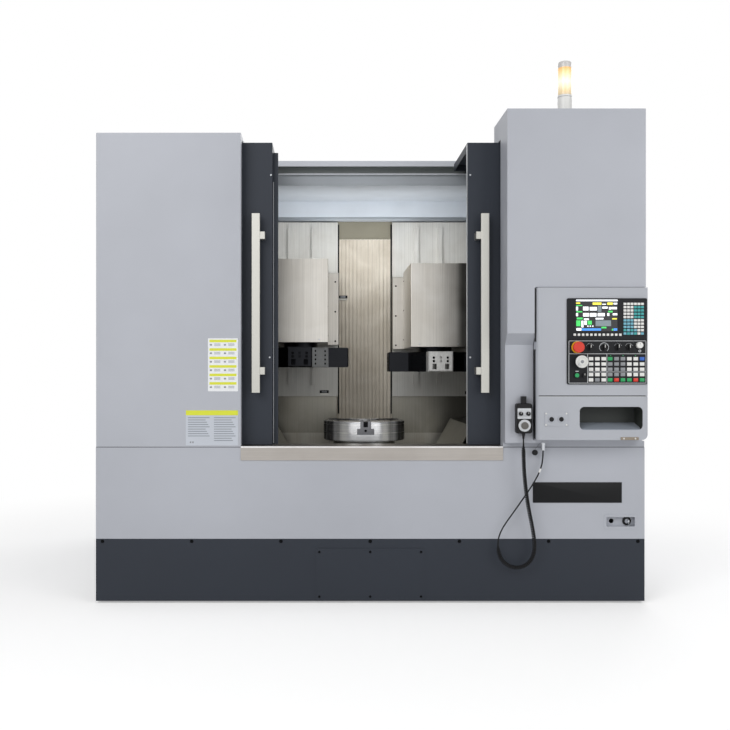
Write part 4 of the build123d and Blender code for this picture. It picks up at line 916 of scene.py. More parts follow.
@dataclass
class HandheldCord:
    """The cord from the cabinet's connector to the handheld unit: a plain lead, then a curly one.

    The route's points are those of the CAD tubes, in metres.
    """

    wire: float = 0.008
    coil_radius: float = 0.0075
    pitch: float = 0.0098
    per_turn: int = 14
    ease: float = 0.045
    tail: float = 0.052
    length: float = 4.8
    marker_z: float = 0.728
    gland_drop: float = 0.029
    lead: tuple[Point, ...] = (
        (0.938, -1.089, 0.838), (0.938, -1.089, 0.796), (0.926, -1.091, 0.736),
        (0.888, -1.094, 0.662), (0.828, -1.096, 0.576), (0.767, -1.098, 0.490),
        (0.716, -1.101, 0.422), (0.692, -1.104, 0.366))
    curl: tuple[Point, ...] = (
        (0.688, -1.107, 0.300), (0.708, -1.110, 0.242), (0.757, -1.113, 0.207),
        (0.818, -1.116, 0.206), (0.866, -1.119, 0.242), (0.886, -1.122, 0.302),
        (0.880, -1.125, 0.378), (0.864, -1.128, 0.460), (0.846, -1.131, 0.546),
        (0.834, -1.134, 0.632), (0.825, -1.137, 0.716), (0.821, -1.140, 0.796),
        (0.820, -1.141, 0.868), (0.820, -1.141, 0.934))

    def spline(self, name: str, points: Sequence[Point], steps: int) -> bpy.types.Curve:
        """One open NURBS spline of order three.

        Args:
            name: the curve's name.
            points: its control points.
            steps: how finely each span is drawn.

        Returns:
            The curve.
        """
        curve = bpy.data.curves.new(name, "CURVE")
        curve.dimensions = "3D"
        curve.resolution_u = steps
        line = curve.splines.new("NURBS")
        line.points.add(len(points) - 1)
        for slot, place in zip(line.points, points):
            slot.co = (*place, 1.0)
        line.order_u = 3
        line.use_endpoint_u = True
        line.resolution_u = steps
        return curve

    def read_route(self) -> list[Vector]:
        """Reads the points of the whole route's smooth line.

        Returns:
            The points from the connector to the handheld unit.
        """
        curve = self.spline("route", self.lead + self.curl, 24)
        bare = bpy.data.objects.new("route", curve)
        mesh = bpy.data.meshes.new_from_object(bare)
        points = [v.co.copy() for v in mesh.vertices]
        bpy.data.objects.remove(bare)
        bpy.data.meshes.remove(mesh)
        bpy.data.curves.remove(curve)
        return points

    def helix(self, axis: list[Vector]) -> list[Vector]:
        """Winds the curly stretch round the read line.

        Args:
            axis: the points of the stretch's middle line.

        Returns:
            The winding's points, from the lead to the handheld unit.
        """
        steps = [(b - a).length for a, b in zip(axis, axis[1:])]
        along = np.concatenate([[0.0], np.cumsum(steps)])
        total = float(along[-1])
        count = int(total / self.pitch * self.per_turn)
        side, points = Vector((0.0, 1.0, 0.0)), []
        for n in range(count + 1):
            at = total * n / count
            here = Vector([float(np.interp(at, along, [p[k] for p in axis])) for k in range(3)])
            i = min(max(int(np.searchsorted(along, at)), 1), len(axis) - 1)
            ahead = (axis[i] - axis[i - 1]).normalized()
            side = (side - ahead * side.dot(ahead)).normalized()
            up = ahead.cross(side)
            share = min(1.0, at / self.ease, max(0.0, total - self.tail - at) / self.ease)
            reach = self.coil_radius * share * share * (3 - 2 * share)
            turn = 2 * math.pi * n / self.per_turn
            points.append(here + reach * (math.cos(turn) * side + math.sin(turn) * up))
        return points

    def build(self) -> None:
        route = self.read_route()
        joint = (Vector(self.lead[-1]) + Vector(self.curl[0])) / 2
        split = min(range(len(route)), key=lambda i: (route[i] - joint).length)
        curve = self.spline("handheld_cord", list(self.lead) + self.helix(route[split:]), 2)
        curve.bevel_depth = self.wire / 2
        curve.bevel_resolution = 3
        curve.use_fill_caps = True
        curve.materials.append(Coats.RUBBER_AND_PAINTED_SHADE.material())
        cord = show("handheld_cord", curve)
        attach(cord, ROOT)
        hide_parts("cord_lead", "curly_cord")
        near = min(range(1, split), key=lambda i: abs(route[i].z - self.marker_z))
        marker = Piece("cord_marker_sleeve")
        ahead = (route[near + 1] - route[near - 1]).normalized()
        marker.turned([(4.1, -11), (4.9, -10.5), (4.9, 10.5), (4.1, 11)], route[near], ahead,
                      Coats.WHITE)
        sleeve = marker.done(ROOT)
        gland = Piece("handheld_cord_gland")
        gland.turned([(5.0, 0), (5.8, 1), (7.2, 16), (9.2, 19), (9.2, 28.5)],
                     Vector(self.curl[-1]) - Vector((0, 0, self.gland_drop)), UP, Coats.BLACK)
        collar = gland.done(ROOT)
        LOG.info("cord of %d points", len(curve.splines[0].points))


@dataclass
class Studio:
    """The floor, the soft lamps and the camera."""

    eye: Point = (-0.248, -6.059, 1.262)
    sensor: float = 36.0
    lens: float = 45.1
    shift: tuple[float, float] = (0.055, 0.010)
    sight: float = 200.0
    floor_radius: float = 60.0
    floor_tone: str = "#F5F5F5"
    fade: tuple[float, float] = (2.2, 4.6)
    ambient: float = 0.42
    floor_glow: float = 0.34

    def seen_rays(self, skin: Skin) -> Socket:
        """One for camera, glossy and transmitted rays.

        Args:
            skin: the nodes that ask.

        Returns:
            The socket with the answer.
        """
        path = add_node(skin.tree, "LightPath").outputs
        first = skin.sum("MAXIMUM", path["Is Camera Ray"], path["Is Glossy Ray"])
        return skin.sum("MAXIMUM", first, path["Is Transmission Ray"])

    def floor(self) -> None:
        """A pale floor that keeps the machine's shadow and fades to white."""
        shape = bmesh.new()
        bmesh.ops.create_circle(shape, cap_ends=True, segments=64, radius=self.floor_radius)
        mesh = bpy.data.meshes.new("floor")
        shape.to_mesh(mesh)
        shape.free()
        made = bpy.data.materials.new("pale_floor")
        skin = Skin(empty_tree(made))
        seen = self.seen_rays(skin)
        away = skin.vector("LENGTH", skin.place(), out="Value")
        far = skin.span(away, 0.0, 1.0, *self.fade, smooth=True)
        bare = skin.node("BsdfDiffuse", {"Color": linear(self.floor_tone)})
        glow = skin.node("Emission", {"Strength": skin.sum("MULTIPLY", seen, self.floor_glow)})
        near = skin.node("AddShader", {0: bare, 1: glow})
        white = skin.node("Emission", {"Strength": 1.0})
        faded = skin.node("MixShader", {0: skin.sum("MULTIPLY", far, seen), 1: near, 2: white})
        add_node(skin.tree, "OutputMaterial", {"Surface": faded})
        mesh.materials.append(made)
        show("floor", mesh)

    def world(self) -> None:
        """An even white surround, dimmer as a lamp than as a backdrop."""
        world = bpy.data.worlds.new("surround")
        bpy.context.scene.world = world
        skin = Skin(empty_tree(world))
        strength = skin.span(self.seen_rays(skin), self.ambient, 1.0)
        back = skin.node("Background", {"Color": FULL, "Strength": strength})
        add_node(skin.tree, "OutputWorld", {"Surface": back})

    def lamp(self, name: str, place: Point, aim: Point, power: float, size: tuple[float, float],
             mirrored: bool = True) -> None:
        """One soft lamp, which lights but isn't seen.

        Args:
            name: its name.
            place: where it stands.
            aim: what it looks at.
            power: its power in watts.
            size: its width and height.
            mirrored: whether bright metal shows it.
        """
        light = bpy.data.lights.new(name, "AREA")
        light.shape = "RECTANGLE"
        light.energy, light.size, light.size_y = power, size[0], size[1]
        made = show(name, light)
        made.visible_camera = False
        made.visible_glossy = mirrored
        made.location = place
        made.rotation_euler = (Vector(aim) - Vector(place)).to_track_quat("-Z", "Y").to_euler()

    def camera(self) -> None:
        """The camera, level with the machine's middle and in front of the doors."""
        data = bpy.data.cameras.new("camera")
        data.sensor_width, data.lens = self.sensor, self.lens
        data.shift_x, data.shift_y = self.shift
        data.clip_end = self.sight
        made = show("camera", data)
        made.location = self.eye
        made.rotation_euler = (math.pi / 2, 0.0, 0.0)
        bpy.context.scene.camera = made

    def build(self) -> None:
        """Sets the whole studio."""
        bpy.context.scene.view_settings.view_transform = "Standard"
        self.floor()
        self.world()
        self.lamp("key_lamp", (-3.6, -6.6, 4.6), (0.0, -0.6, 1.2), 190.0, (4.0, 4.0))
        self.lamp("fill_lamp", (4.6, -5.8, 3.2), (0.2, -0.6, 1.2), 100.0, (4.0, 4.0))
        self.lamp("back_lamp", (2.5, 5.5, 5.0), (0.0, 0.6, 1.4), 150.0, (5.0, 5.0))
        self.lamp("chamber_lamp", (0.0, APRON_Y + 0.72, 2.02), (0.0, APRON_Y + 1.2, 2.32), 4.4,
                  (1.3, 0.2), mirrored=False)
        self.camera()


@dataclass
class ControlPanel:
    """The control panel's looks: lit display fields, key caps, printed lines and marks.

    The keys' places are those of the keys that stand on the CAD panel.
    """

    face: float = APRON_Y - 0.136
    screen: Box = (1.0885, 1.4805, 1.3105, 1.6505)
    recess: float = 0.004
    glass: float = 0.8 * MM
    cap_height: float = 2.6 * MM
    keypad: tuple[str, ...] = ("WWWWWW", "WWWTTT", "WWWTTT", "WWWTTT", "WWWTTT", "SSSWWW",
                               "SSSWWW", "SSSWWW", "TSTSWW", "STSTWS")
    soft: tuple[str, ...] = ("WWWWWWWWWWWW",)
    modes: tuple[str, ...] = ("WWWGDDWWB", "WWWDDDWWW", "WWWDDDWWW", "WWWDDDWWW", "WDWGRGGRG")
    frame_line: Box = (1.0500, 1.2045, 1.4600, 1.4290)
    inner_lines: tuple[float, ...] = (1.3605, 1.1495, 1.2520, 1.2640)
    line: float = 2.4 * MM
    selectors: tuple[float, ...] = (1.162, 1.237, 1.311, 1.370)
    row_z: float = 1.395

    LETTERS = {"W": Coats.WHITE, "T": Coats.TEAL, "S": Coats.SKY, "D": Coats.GREYKEY,
               "G": Coats.GREEN, "R": Coats.RED, "B": Coats.BLUE}
    # Left, top, right and bottom of each lit field, in hundredths of the screen.
    FIELDS = (
        (Coats.WHITESCREEN,
         ((0, 1, 100, 6), (63, 14, 72, 17), (90, 11, 99, 16), (0, 23, 5, 35), (17, 23, 30, 35),
          (33, 24, 50, 35), (63, 23, 76, 29), (79, 24, 84, 32), (85, 24, 98, 31), (0, 43, 5, 53),
          (17, 43, 31, 54), (33, 43, 49, 54), (52, 43, 69, 53), (75, 43, 80, 52), (88, 44, 99, 50),
          (19, 60, 31, 65), (47, 58, 66, 63), (13, 67, 18, 88), (20, 67, 26, 80), (27, 82, 30, 86),
          (33, 82, 36, 86), (39, 82, 42, 86), (1, 90, 13, 98))),
        (Coats.YELLOWSCREEN,
         ((0, 10, 10, 14), (40, 10, 61, 17), (75, 10, 88, 17), (87, 59, 98, 63))),
        (Coats.GREENSCREEN,
         ((0, 18, 15, 21), (1, 37, 15, 41), (77, 36, 88, 41), (2, 57, 16, 63), (0.5, 66, 11, 84),
          (28, 67, 38, 79), (61, 86, 73, 91), (86, 92, 89, 98))),
        (Coats.BLUESCREEN, ((14, 91, 60, 98), (90, 91, 99, 98))),
        (Coats.GREYSCREEN, ((47, 66, 84, 84), (52, 20, 61, 39))),
    )

    def display(self) -> None:
        """The dark glass in the panel's recess with plain lit fields on it."""
        left, bottom, right, top = self.screen
        floor = self.face + self.recess
        glass = Piece("panel_display")
        glass.card((left, floor, bottom), (right, top), 0.0, self.glass, Coats.DARKSCREEN)
        wide, high = (right - left) / 100, (top - bottom) / 100
        for finish, spots in self.FIELDS:
            for x0, y0, x1, y1 in spots:
                glass.card((left + x0 * wide, floor - self.glass, top - y1 * high),
                           (left + x1 * wide, top - y0 * high), 0.6 * MM, 0.2 * MM, finish)
        glass.done("pendant")

    def keys(self, name: str, centre: Point, pitch: Point, size: Point,
             rows: Sequence[str]) -> None:
        """One field of key caps over the panel's keys.

        Args:
            name: the piece's name.
            centre: X and Z of the field's middle.
            pitch: the steps across and down.
            size: a cap's width and height.
            rows: a letter for each cap's finish, from the top row down.
        """
        caps = Piece(name)
        for down, row in enumerate(rows):
            for across, letter in enumerate(row):
                x = centre[0] + (across - (len(row) - 1) / 2) * pitch[0]
                z = centre[1] - (down - (len(rows) - 1) / 2) * pitch[1]
                caps.card((x - size[0] / 2, self.face, z - size[1] / 2),
                          (x + size[0] / 2, z + size[1] / 2), 1.5 * MM, self.cap_height,
                          self.LETTERS[letter], crown=0.7 * MM)
        caps.done("pendant")

    def lines(self) -> None:
        """The pale lines round and between the panel's fields."""
        left, bottom, right, top = self.frame_line
        shelf, first, second, low = self.inner_lines
        half = self.line / 2
        prints = Piece("panel_lines")
        runs = ((left, top, right, top), (left, bottom, right, bottom), (left, bottom, left, top),
                (right, bottom, right, top), (left, shelf, right, shelf),
                (first, bottom, first, shelf), (second, bottom, second, shelf),
                (first, low, right, low))
        for x0, z0, x1, z1 in runs:
            prints.card((x0 - half, self.face, z0 - half), (x1 + half, z1 + half), 0.4 * MM, PRINT,
                        Coats.SILVER)
        prints.done("pendant")

    def marks(self) -> None:
        """Scale marks round the selectors, the stop's yellow ring, bezels and lamps."""
        marks = Piece("panel_marks")
        for number, x in enumerate(self.selectors):
            for turn in range(-60, 61, 24 if number == 2 else 20):
                marks.arc((x, self.face, self.row_z), (18.5 * MM, 22.5 * MM),
                          (turn - 2.2, turn + 2.2), PRINT, Coats.SILVER, 1)
        rings = ((self.selectors[1], self.row_z, 23.5, 25.5, (-140, 140), PRINT, Coats.SILVER, 28),
                 (1.095, self.row_z, 23.5, 32, WHOLE, 4 * MM, Coats.YELLOW, 36),
                 (1.091, 1.246, 12.2, 15, WHOLE, 2.5 * MM, Coats.BLACK, 24),
                 (1.427, 1.3755, 4, 7, WHOLE, 1.5 * MM, Coats.SILVER, 24),
                 *((x, 1.351, 0.5, 2.6, WHOLE, 1.2 * MM, Coats.GREEN, 12)
                   for x in (1.272, 1.338, 1.404)))
        for x, z, inner, outer, span, thickness, finish, steps in rings:
            marks.arc((x, self.face, z), (inner * MM, outer * MM), span, thickness, finish, steps)
        marks.card((1.085, self.face, 1.2655), (1.102, 1.2695), 0.4 * MM, PRINT, Coats.SILVER)
        marks.done("pendant")

    def pointers(self) -> None:
        """The line on each knob, which turns with it, and the handwheel's grip."""
        tips = [(f"selector_{n}_pointer", f"selector_{n}", x - 1.4 * MM, self.row_z - 2 * MM,
                 x + 1.4 * MM, self.row_z + 14 * MM, 22.3, 0.7, Coats.WHITE)
                for n, x in enumerate(self.selectors, 1)]
        tips += [("panel_knob_pointer", "panel_knob", 1.1298, 1.246, 1.1322, 1.2555, 15.3, 0.6,
                  Coats.WHITE),
                 ("override_pointer", "override_knob", 1.4220, 1.409, 1.4240, 1.419, 20.3, 0.5,
                  Coats.GREYKEY)]
        for name, body, left, bottom, right, top, out_mm, corner_mm, finish in tips:
            tip = Piece(name)
            tip.card((left, self.face - out_mm * MM, bottom), (right, top), corner_mm * MM,
                     0.3 * MM, finish)
            tip.done(body)
        grip = Piece("handwheel_grip")
        grip.turned([(6.5, 0), (6.5, 3), (5, 5), (5.6, 12), (4.6, 14.5)],
                    (1.0945, self.face - 37 * MM, 1.3035), FRONT, Coats.SILVER, 18)
        grip.turned([(9, 0), (9, 0.4), (8, 0.8)], (1.109, self.face - 45 * MM, 1.318), FRONT,
                    Coats.GREYKEY, 24)
        grip.done("handwheel")

    def build(self) -> None:
        """Makes the panel's pieces."""
        self.display()
        self.keys("keypad_caps", (1.394, 1.547), (0.0185, 0.0175), (0.0150, 0.0122), self.keypad)
        self.keys("soft_key_caps", (1.202, 1.462), (0.022, 0.0), (0.0130, 0.0122), self.soft)
        self.keys("mode_key_caps", (1.303, 1.278), (0.034, 0.028), (0.0240, 0.0180), self.modes)
        self.lines()
        self.marks()
        self.pointers()


@dataclass
class PendantTrim:
    """Things on the pendant: port plate screws and plugs, foot strip, painted shade and highlight
    at its seam and beside it, and painted shade within its tray.
    """

    face: float = APRON_Y - 0.130
    plate: tuple[float, float] = (0.984, 1.012)
    screw_reach: tuple[float, float] = (0.0545, 0.0305)
    plug_offset: float = 0.026
    strip: Box = (1.327, 0.9015, 1.423, 0.9165)
    strip_screws: tuple[float, float] = (1.3445, 1.4055)
    tray: Box = (1.109, 0.955, 1.445, 1.078)
    tray_corner: float = 0.024
    mat_rise: float = 0.032
    seam_x: tuple[float, float] = (0.8915, 1.4600)
    seam_z: float = 1.1360
    # Dark strips as painted shade: on the pendant's left side face, and in the gap beside the
    # pendant.
    side_face_shade: tuple[Point, Point] = ((0.8792, APRON_Y - 0.105, 0.905),
                                       (0.8801, APRON_Y - 0.0635, 1.385))
    side_gap_shade: tuple[Point, Point] = ((0.8715, APRON_Y - 0.1208, 1.425),
                                 (0.8788, APRON_Y - 0.120, 1.712))

    def ports(self) -> None:
        """The port plate's screws and plugs, and the tan strip at the pendant's foot."""
        x0, z0 = self.plate
        trim = Piece("port_plate_screws")
        for side in BOTH:
            for up in BOTH:
                trim.screw((x0 + side * self.screw_reach[0], self.face - 3 * MM,
                            z0 + up * self.screw_reach[1]), FRONT, 5 * MM, Coats.WHITE)
            trim.turned([(12.5, 0), (12.5, 1.2), (11, 2), (3, 1.6)],
                        (x0 + side * self.plug_offset, self.face - 7 * MM, z0), FRONT, Coats.BLACK)
        trim.done("pendant")
        left, bottom, right, top = self.strip
        strip = Piece("pendant_foot_strip")
        strip.card((left, self.face, bottom), (right, top), 1.5 * MM, 2.5 * MM, Coats.STRIP)
        for x in self.strip_screws:
            strip.screw((x, self.face - 2.5 * MM, (bottom + top) / 2), FRONT, 4.5 * MM, Coats.WHITE)
        strip.done("pendant")

    def seam_shade_and_highlight(self) -> None:
        """Dark strips as painted shade in the seam across the pendant's front and on its left side,
        a pale strip under the seam as painted highlight, and a dark strip as painted shade in the
        gap beside it.
        """
        left, right = self.seam_x
        seam = Piece("pendant_seam_shade_and_highlight")
        # A black strip as painted shade in the seam, a pale one under it as painted highlight.
        for low_mm, high_mm, finish in ((-2.5, 2.5, Coats.BLACK), (-5, -2.5, Coats.SILVER)):
            seam.block((left, self.face - 0.3 * MM, self.seam_z + low_mm * MM),
                       (right, self.face + 1 * MM, self.seam_z + high_mm * MM), finish, 0.2 * MM)
        # A dark strip on the pendant's left side face: painted shade.
        seam.block(*self.side_face_shade, Coats.RUBBER_AND_PAINTED_SHADE, 0.2 * MM)
        seam.done("pendant")
        # A dark strip in the gap beside the pendant, fixed to the cabinet: painted shade.
        edge = Piece("pendant_side_gap_shade")
        edge.block(*self.side_gap_shade, Coats.RUBBER_AND_PAINTED_SHADE, 0.2 * MM)
        edge.done(ROOT)

    def tray_shade_and_mat(self) -> None:
        """The tray's back and roof coloured dark as painted shade, and its sloped mat."""
        left, bottom, right, top = self.tray
        front, back = self.face + 4 * MM, APRON_Y - 1.2 * MM
        inset = self.tray_corner + 2 * MM
        tray_shade_and_mat = Piece("tray_shade_lining_and_mat")
        # A dark card on the back and a dark plate under the roof: painted shade within the tray.
        tray_shade_and_mat.card((left + 1 * MM, APRON_Y, bottom + 1 * MM), (right - 1 * MM, top - 1 * MM),
                    self.tray_corner, 1 * MM, Coats.PAINTED_TRAY_SHADE)
        tray_shade_and_mat.block((left + inset, self.face + 3 * MM, top - 1.6 * MM),
                     (right - inset, back, top - 0.2 * MM), Coats.PAINTED_TRAY_SHADE, 0.3 * MM)
        slope = ((front, 0.2 * MM), (front, 3 * MM), (back, 0.2 * MM), (back, self.mat_rise))
        tray_shade_and_mat.hull([(x, y, bottom + up) for x in (left + 2 * MM, right - 2 * MM)
                     for y, up in slope], Coats.MAT)
        tray_shade_and_mat.done("pendant")

    def build(self) -> None:
        """Makes the pieces; all but the painted shade in the gap beside the pendant swing with it.
        """
        self.ports()
        self.seam_shade_and_highlight()
        self.tray_shade_and_mat()


@dataclass
class Handheld:
    """The handheld unit's plate, dial and pointers, and the dust cap on its connector."""

    face: float = APRON_Y - 0.1053
    plate: Box = (0.7835, 1.013, 0.8565, 1.069)
    dial: tuple[float, float] = (0.820, 0.977)
    dial_out: float = 10.3 * MM
    knob_x: float = 0.020
    knob_z: float = 1.040
    connector: tuple[float, float] = (0.938, APRON_Y - 0.030)
    # The strap's run from the connector to the cap, in millimetres across and up.
    strap: tuple[tuple[float, float], ...] = ((-11.2, 874), (-16, 873), (-24, 868), (-33, 858),
                                              (-40, 848), (-43, 841))

    def build(self) -> None:
        """Makes the pieces."""
        x0, z0 = self.dial
        left, bottom, right, top = self.plate
        plate = Piece("handheld_plate")
        plate.card((left, self.face, bottom), (right, top), 3 * MM, 0.2 * MM, Coats.SILVER)
        for side in BOTH:
            for turn in range(-60, 61, 24):
                plate.arc((x0 + side * self.knob_x, self.face - 0.2 * MM, self.knob_z),
                          (13 * MM, 16 * MM), (turn - 3, turn + 3), 0.05 * MM, Coats.INK, 1)
        plate.arc((x0, self.face, z0), (33 * MM, 36 * MM), WHOLE, 1.2 * MM, Coats.BLACK, 36)
        plate.done(ROOT)
        cap = Piece("handheld_dial_cap")
        seat = (x0, self.face - self.dial_out, z0)
        cap.turned([(19.4, 0.2), (19.8, 3), (19.4, 6.4), (17, 7), (6, 6.6)], seat, FRONT,
                   Coats.DIALCAP, 36)
        for turn in range(0, 360, 15):
            cap.arc(seat, (25 * MM, 29.5 * MM), (turn - 0.9, turn + 0.9), 0.2 * MM, Coats.INK, 1)
        cap.done("handheld_dial")
        for name, side in zip(("axis", "step"), BOTH):
            x = x0 + side * self.knob_x
            tip = Piece(f"handheld_{name}_pointer")
            tip.card((x - 0.8 * MM, self.face - 14.3 * MM, self.knob_z),
                     (x + 0.8 * MM, self.knob_z + 10 * MM), 0.4 * MM, 0.3 * MM, Coats.WHITE)
            tip.done(f"handheld_{name}_knob")
        self.dust_cap()

    def dust_cap(self) -> None:
        """The connector's dust cap, which hangs beside it on a rubber strap."""
        x, y = self.connector
        cap = Piece("connector_dust_cap")
        cap.turned([(14, 0), (15.5, 1.5), (15.5, 9), (14, 12), (5, 12.6)],
                   (x - 0.044, y + 6 * MM, 0.826), FRONT, Coats.RUBBER_AND_PAINTED_SHADE)
        shape = bmesh.new()
        rows = [[shape.verts.new((x + across * MM, y + side * 2.5 * MM, up * MM)) for side in BOTH]
                for across, up in self.strap]
        for a, b in zip(rows, rows[1:]):
            shape.faces.new((a[0], b[0], b[1], a[1]))
        bmesh.ops.solidify(shape, geom=shape.faces[:], thickness=1.4 * MM)
        cap.add(shape, Coats.RUBBER_AND_PAINTED_SHADE, 60.0)
        cap.done(ROOT)


@dataclass
class Placards:
    """Two plain cards on the left cabinet and a bare plate: fields of colour, no words."""

    face: float = APRON_Y
    upper: Box = (-0.887, 1.158, -0.723, 1.448)
    lower: Box = (-1.008, 0.863, -0.723, 1.054)
    plate: Box = (0.889, 0.549, 1.375, 0.661)
    rows: int = 6
    column: float = 0.077
    margin: float = 0.008
    head: float = 0.014
    row_drop: float = 0.038
    # Left, bottom, right and top of a row's grey mark and of the lowest of its lines.
    mark: Box = (0.010, 0.006, 0.022, 0.015)
    text: Box = (0.034, 0.005, 0.068, 0.0072)
    text_step: float = 0.005
    lower_head: float = 0.027
    # Where each column of the lower card starts, and how many lines it has.
    lower_columns: tuple[tuple[float, int], ...] = ((0.012, 9), (0.154, 11))
    first_line: float = 0.040
    line_step: float = 0.0125
    half_line: float = 0.0022

    def bars(self, card: Piece, spots: Iterable[Point], finish: Finish) -> None:
        """Plain printed bars on a card.

        Args:
            card: the card.
            spots: left, bottom, right and top of each.
            finish: the print.
        """
        for left, bottom, right, top in spots:
            card.card((left, self.face - 0.5 * MM, bottom), (right, top), 0.5 * MM, 0.15 * MM,
                      finish)

    def upper_card(self) -> None:
        """Six rows, each a lime bar over two columns of plain grey bars."""
        left, bottom, right, top = self.upper
        card = Piece("upper_card")
        card.card((left, self.face, bottom), (right, top), 3 * MM, 0.5 * MM, Coats.CARD)
        step = (top - bottom - 0.012) / self.rows
        starts = [left + n * self.column for n in (0, 1)]
        for row in range(self.rows):
            head = top - self.margin - row * step
            low = head - self.row_drop
            self.bars(card, [(left + self.margin, head - self.head, right - self.margin, head)],
                      Coats.LIME)
            x0, z0, x1, z1 = self.mark
            self.bars(card, [(x + x0, low + z0, x + x1, low + z1) for x in starts], Coats.GREYKEY)
            x0, z0, x1, z1 = self.text
            rises = [line * self.text_step for line in range(3)]
            self.bars(card, [(x + x0, low + z0 + up, x + x1, low + z1 + up) for x in starts
                             for up in rises], Coats.INK)
        card.done(ROOT)

    def lower_card(self) -> None:
        """A lime head over two columns of plain grey bars."""
        left, bottom, right, top = self.lower
        card = Piece("lower_card")
        card.card((left, self.face, bottom), (right, top), 1.5 * MM, 0.5 * MM, Coats.PALECARD)
        self.bars(card, [(left, top - self.lower_head, right, top)], Coats.LIME)
        spots = []
        for column, count in self.lower_columns:
            for line in range(count):
                z = top - self.first_line - line * self.line_step
                wide = 0.118 - 0.022 * ((line * 3) % 4) / 3
                spots.append((left + column, z - self.half_line, left + column + wide,
                              z + self.half_line))
        self.bars(card, spots, Coats.INK)
        self.bars(card, [(x + 0.022, bottom + 0.012, x + 0.030, bottom + 0.021)
                         for x in (left, left + 0.013)], Coats.GREYKEY)
        card.done(ROOT)

    def build(self) -> None:
        """Makes the two cards and the plate."""
        self.upper_card()
        self.lower_card()
        left, bottom, right, top = self.plate
        plate = Piece("bare_plate")
        plate.card((left, self.face, bottom), (right, top), 2 * MM, 2 * MM, Coats.PLATE,
                   crown=1 * MM)
        plate.done(ROOT)


@dataclass
class GuardTrim:
    """The guards' screws, black strips as painted shade in the cabinets' joints, ledge moulding, a
    bright strip on the sill's fold as painted highlight, and lock collar.
    """

    plinth_z: float = 0.338
    plinth_pitch: float = 0.488
    plinth_count: int = 7
    hatch_x: tuple[float, ...] = (-0.278, 0.0, 0.278)
    hatch_z: tuple[float, ...] = (0.036, 0.280)
    joint_z: float = 0.8515
    joints: tuple[tuple[float, float], ...] = ((-1.4975, -0.7095), (0.7275, 1.4975))
    ledge_rise: tuple[float, float] = (0.0405, 0.034)
    highlight_height: float = 7 * MM
    barrel: Point = (1.411, APRON_Y + 0.030, 0.445)

    def build(self) -> None:
        """Makes the pieces."""
        row = Piece("plinth_screws")
        for n in range(self.plinth_count):
            x = (n - (self.plinth_count - 1) / 2) * self.plinth_pitch
            row.screw((x, APRON_Y, self.plinth_z), FRONT, 10 * MM, Coats.OXIDE)
        row.done(ROOT)
        hatch = Piece("hatch_screws")
        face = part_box("service_hatch")[0][1]
        for x in self.hatch_x:
            for z in self.hatch_z:
                hatch.screw((x, face, z), FRONT, 7 * MM, Coats.OXIDE)
        hatch.done(ROOT)
        # Black strips along the cabinets' joints with the guard: painted shade in the joints.
        joint = Piece("cabinet_joint_shade")
        for left, right in self.joints:
            joint.block((left, APRON_Y - 0.5 * MM, self.joint_z),
                        (right, APRON_Y + 1 * MM, self.joint_z + 3 * MM), Coats.RUBBER_AND_PAINTED_SHADE, 0.2 * MM)
        joint.done(ROOT)
        ledge = Piece("side_ledge_moulding")
        low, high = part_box("lower_guard")[1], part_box("right_cabinet")[1]
        inner, outer = high[0] + 0.2 * MM, low[0] - 1 * MM
        ledge.hull([(x, y, low[2] + up) for y in (APRON_Y + 2 * MM, low[1] - 2 * MM)
                    for x, rise in zip((inner, outer), self.ledge_rise)
                    for up in (0.2 * MM, rise)], Coats.GREY)
        ledge.done(ROOT)
        # A bright strip along the sill's fold: painted highlight.
        bend_highlight = Piece("sill_bend_painted_highlight")
        low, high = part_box("sill")
        bend_highlight.block((low[0] + 1 * MM, low[1] - 0.4 * MM, high[2] - self.highlight_height),
                   (high[0] - 1 * MM, low[1] + 1 * MM, high[2] + 0.3 * MM), Coats.PAINTED_BEND_HIGHLIGHT, 0.3 * MM)
        bend_highlight.done(ROOT)
        collar = Piece("lock_collar")
        collar.turned([(14, 0), (24, 0), (24, 3), (21, 6), (14, 7), (14, 0)], self.barrel, FRONT,
                      Coats.BLACK, 32)
        collar.done(ROOT)


@dataclass
class DoorTrim:
    """Bright bolts on the two doors, and bright strips along their edges as painted highlights."""

    face: float = APRON_Y + 0.090
    bolt: float = 6 * MM
    left_bolts: tuple[tuple[float, float], ...] = ((-0.5480, 2.360), (-0.5550, 1.345))
    right_bolts: tuple[tuple[float, float], ...] = ((0.5610, 2.360), (0.5610, 1.345))
    # Bright strips that stand in for the highlights on the doors' edges: painted highlights.
    left_painted_highlight: Box = (-0.5375, 0.866, -0.5345, 2.33)
    left_depth: tuple[float, float] = (0.0440, 0.0449)
    right_painted_highlight: Box = (0.5455, 0.866, 0.5459, 2.534)
    right_depth: tuple[float, float] = (4.5 * MM, 0.0385)

    def strip(self, door: Piece, spot: Box, depth: tuple[float, float], edge: float) -> None:
        """One bright strip along a door's edge, a painted highlight.

        Args:
            door: the door's trim.
            spot: left, bottom, right and top.
            depth: how far behind the door's face it starts and ends.
            edge: the width of its broken edges.
        """
        left, bottom, right, top = spot
        door.block((left, self.face + depth[0], bottom), (right, self.face + depth[1], top),
                   Coats.SILVER, edge)

    def build(self) -> None:
        """Makes the pieces, which slide with the doors."""
        left = Piece("left_door_trim")
        for x, z in self.left_bolts:
            left.screw((x, self.face, z), FRONT, self.bolt, Coats.ZINC)
        self.strip(left, self.left_painted_highlight, self.left_depth, 0.2 * MM)
        left.done("left_door")
        right = Piece("right_door_trim")
        self.strip(right, self.right_painted_highlight, self.right_depth, 0.1 * MM)
        for x, z in self.right_bolts:
            right.screw((x, self.face, z), FRONT, self.bolt, Coats.ZINC)
        right.done("right_door")


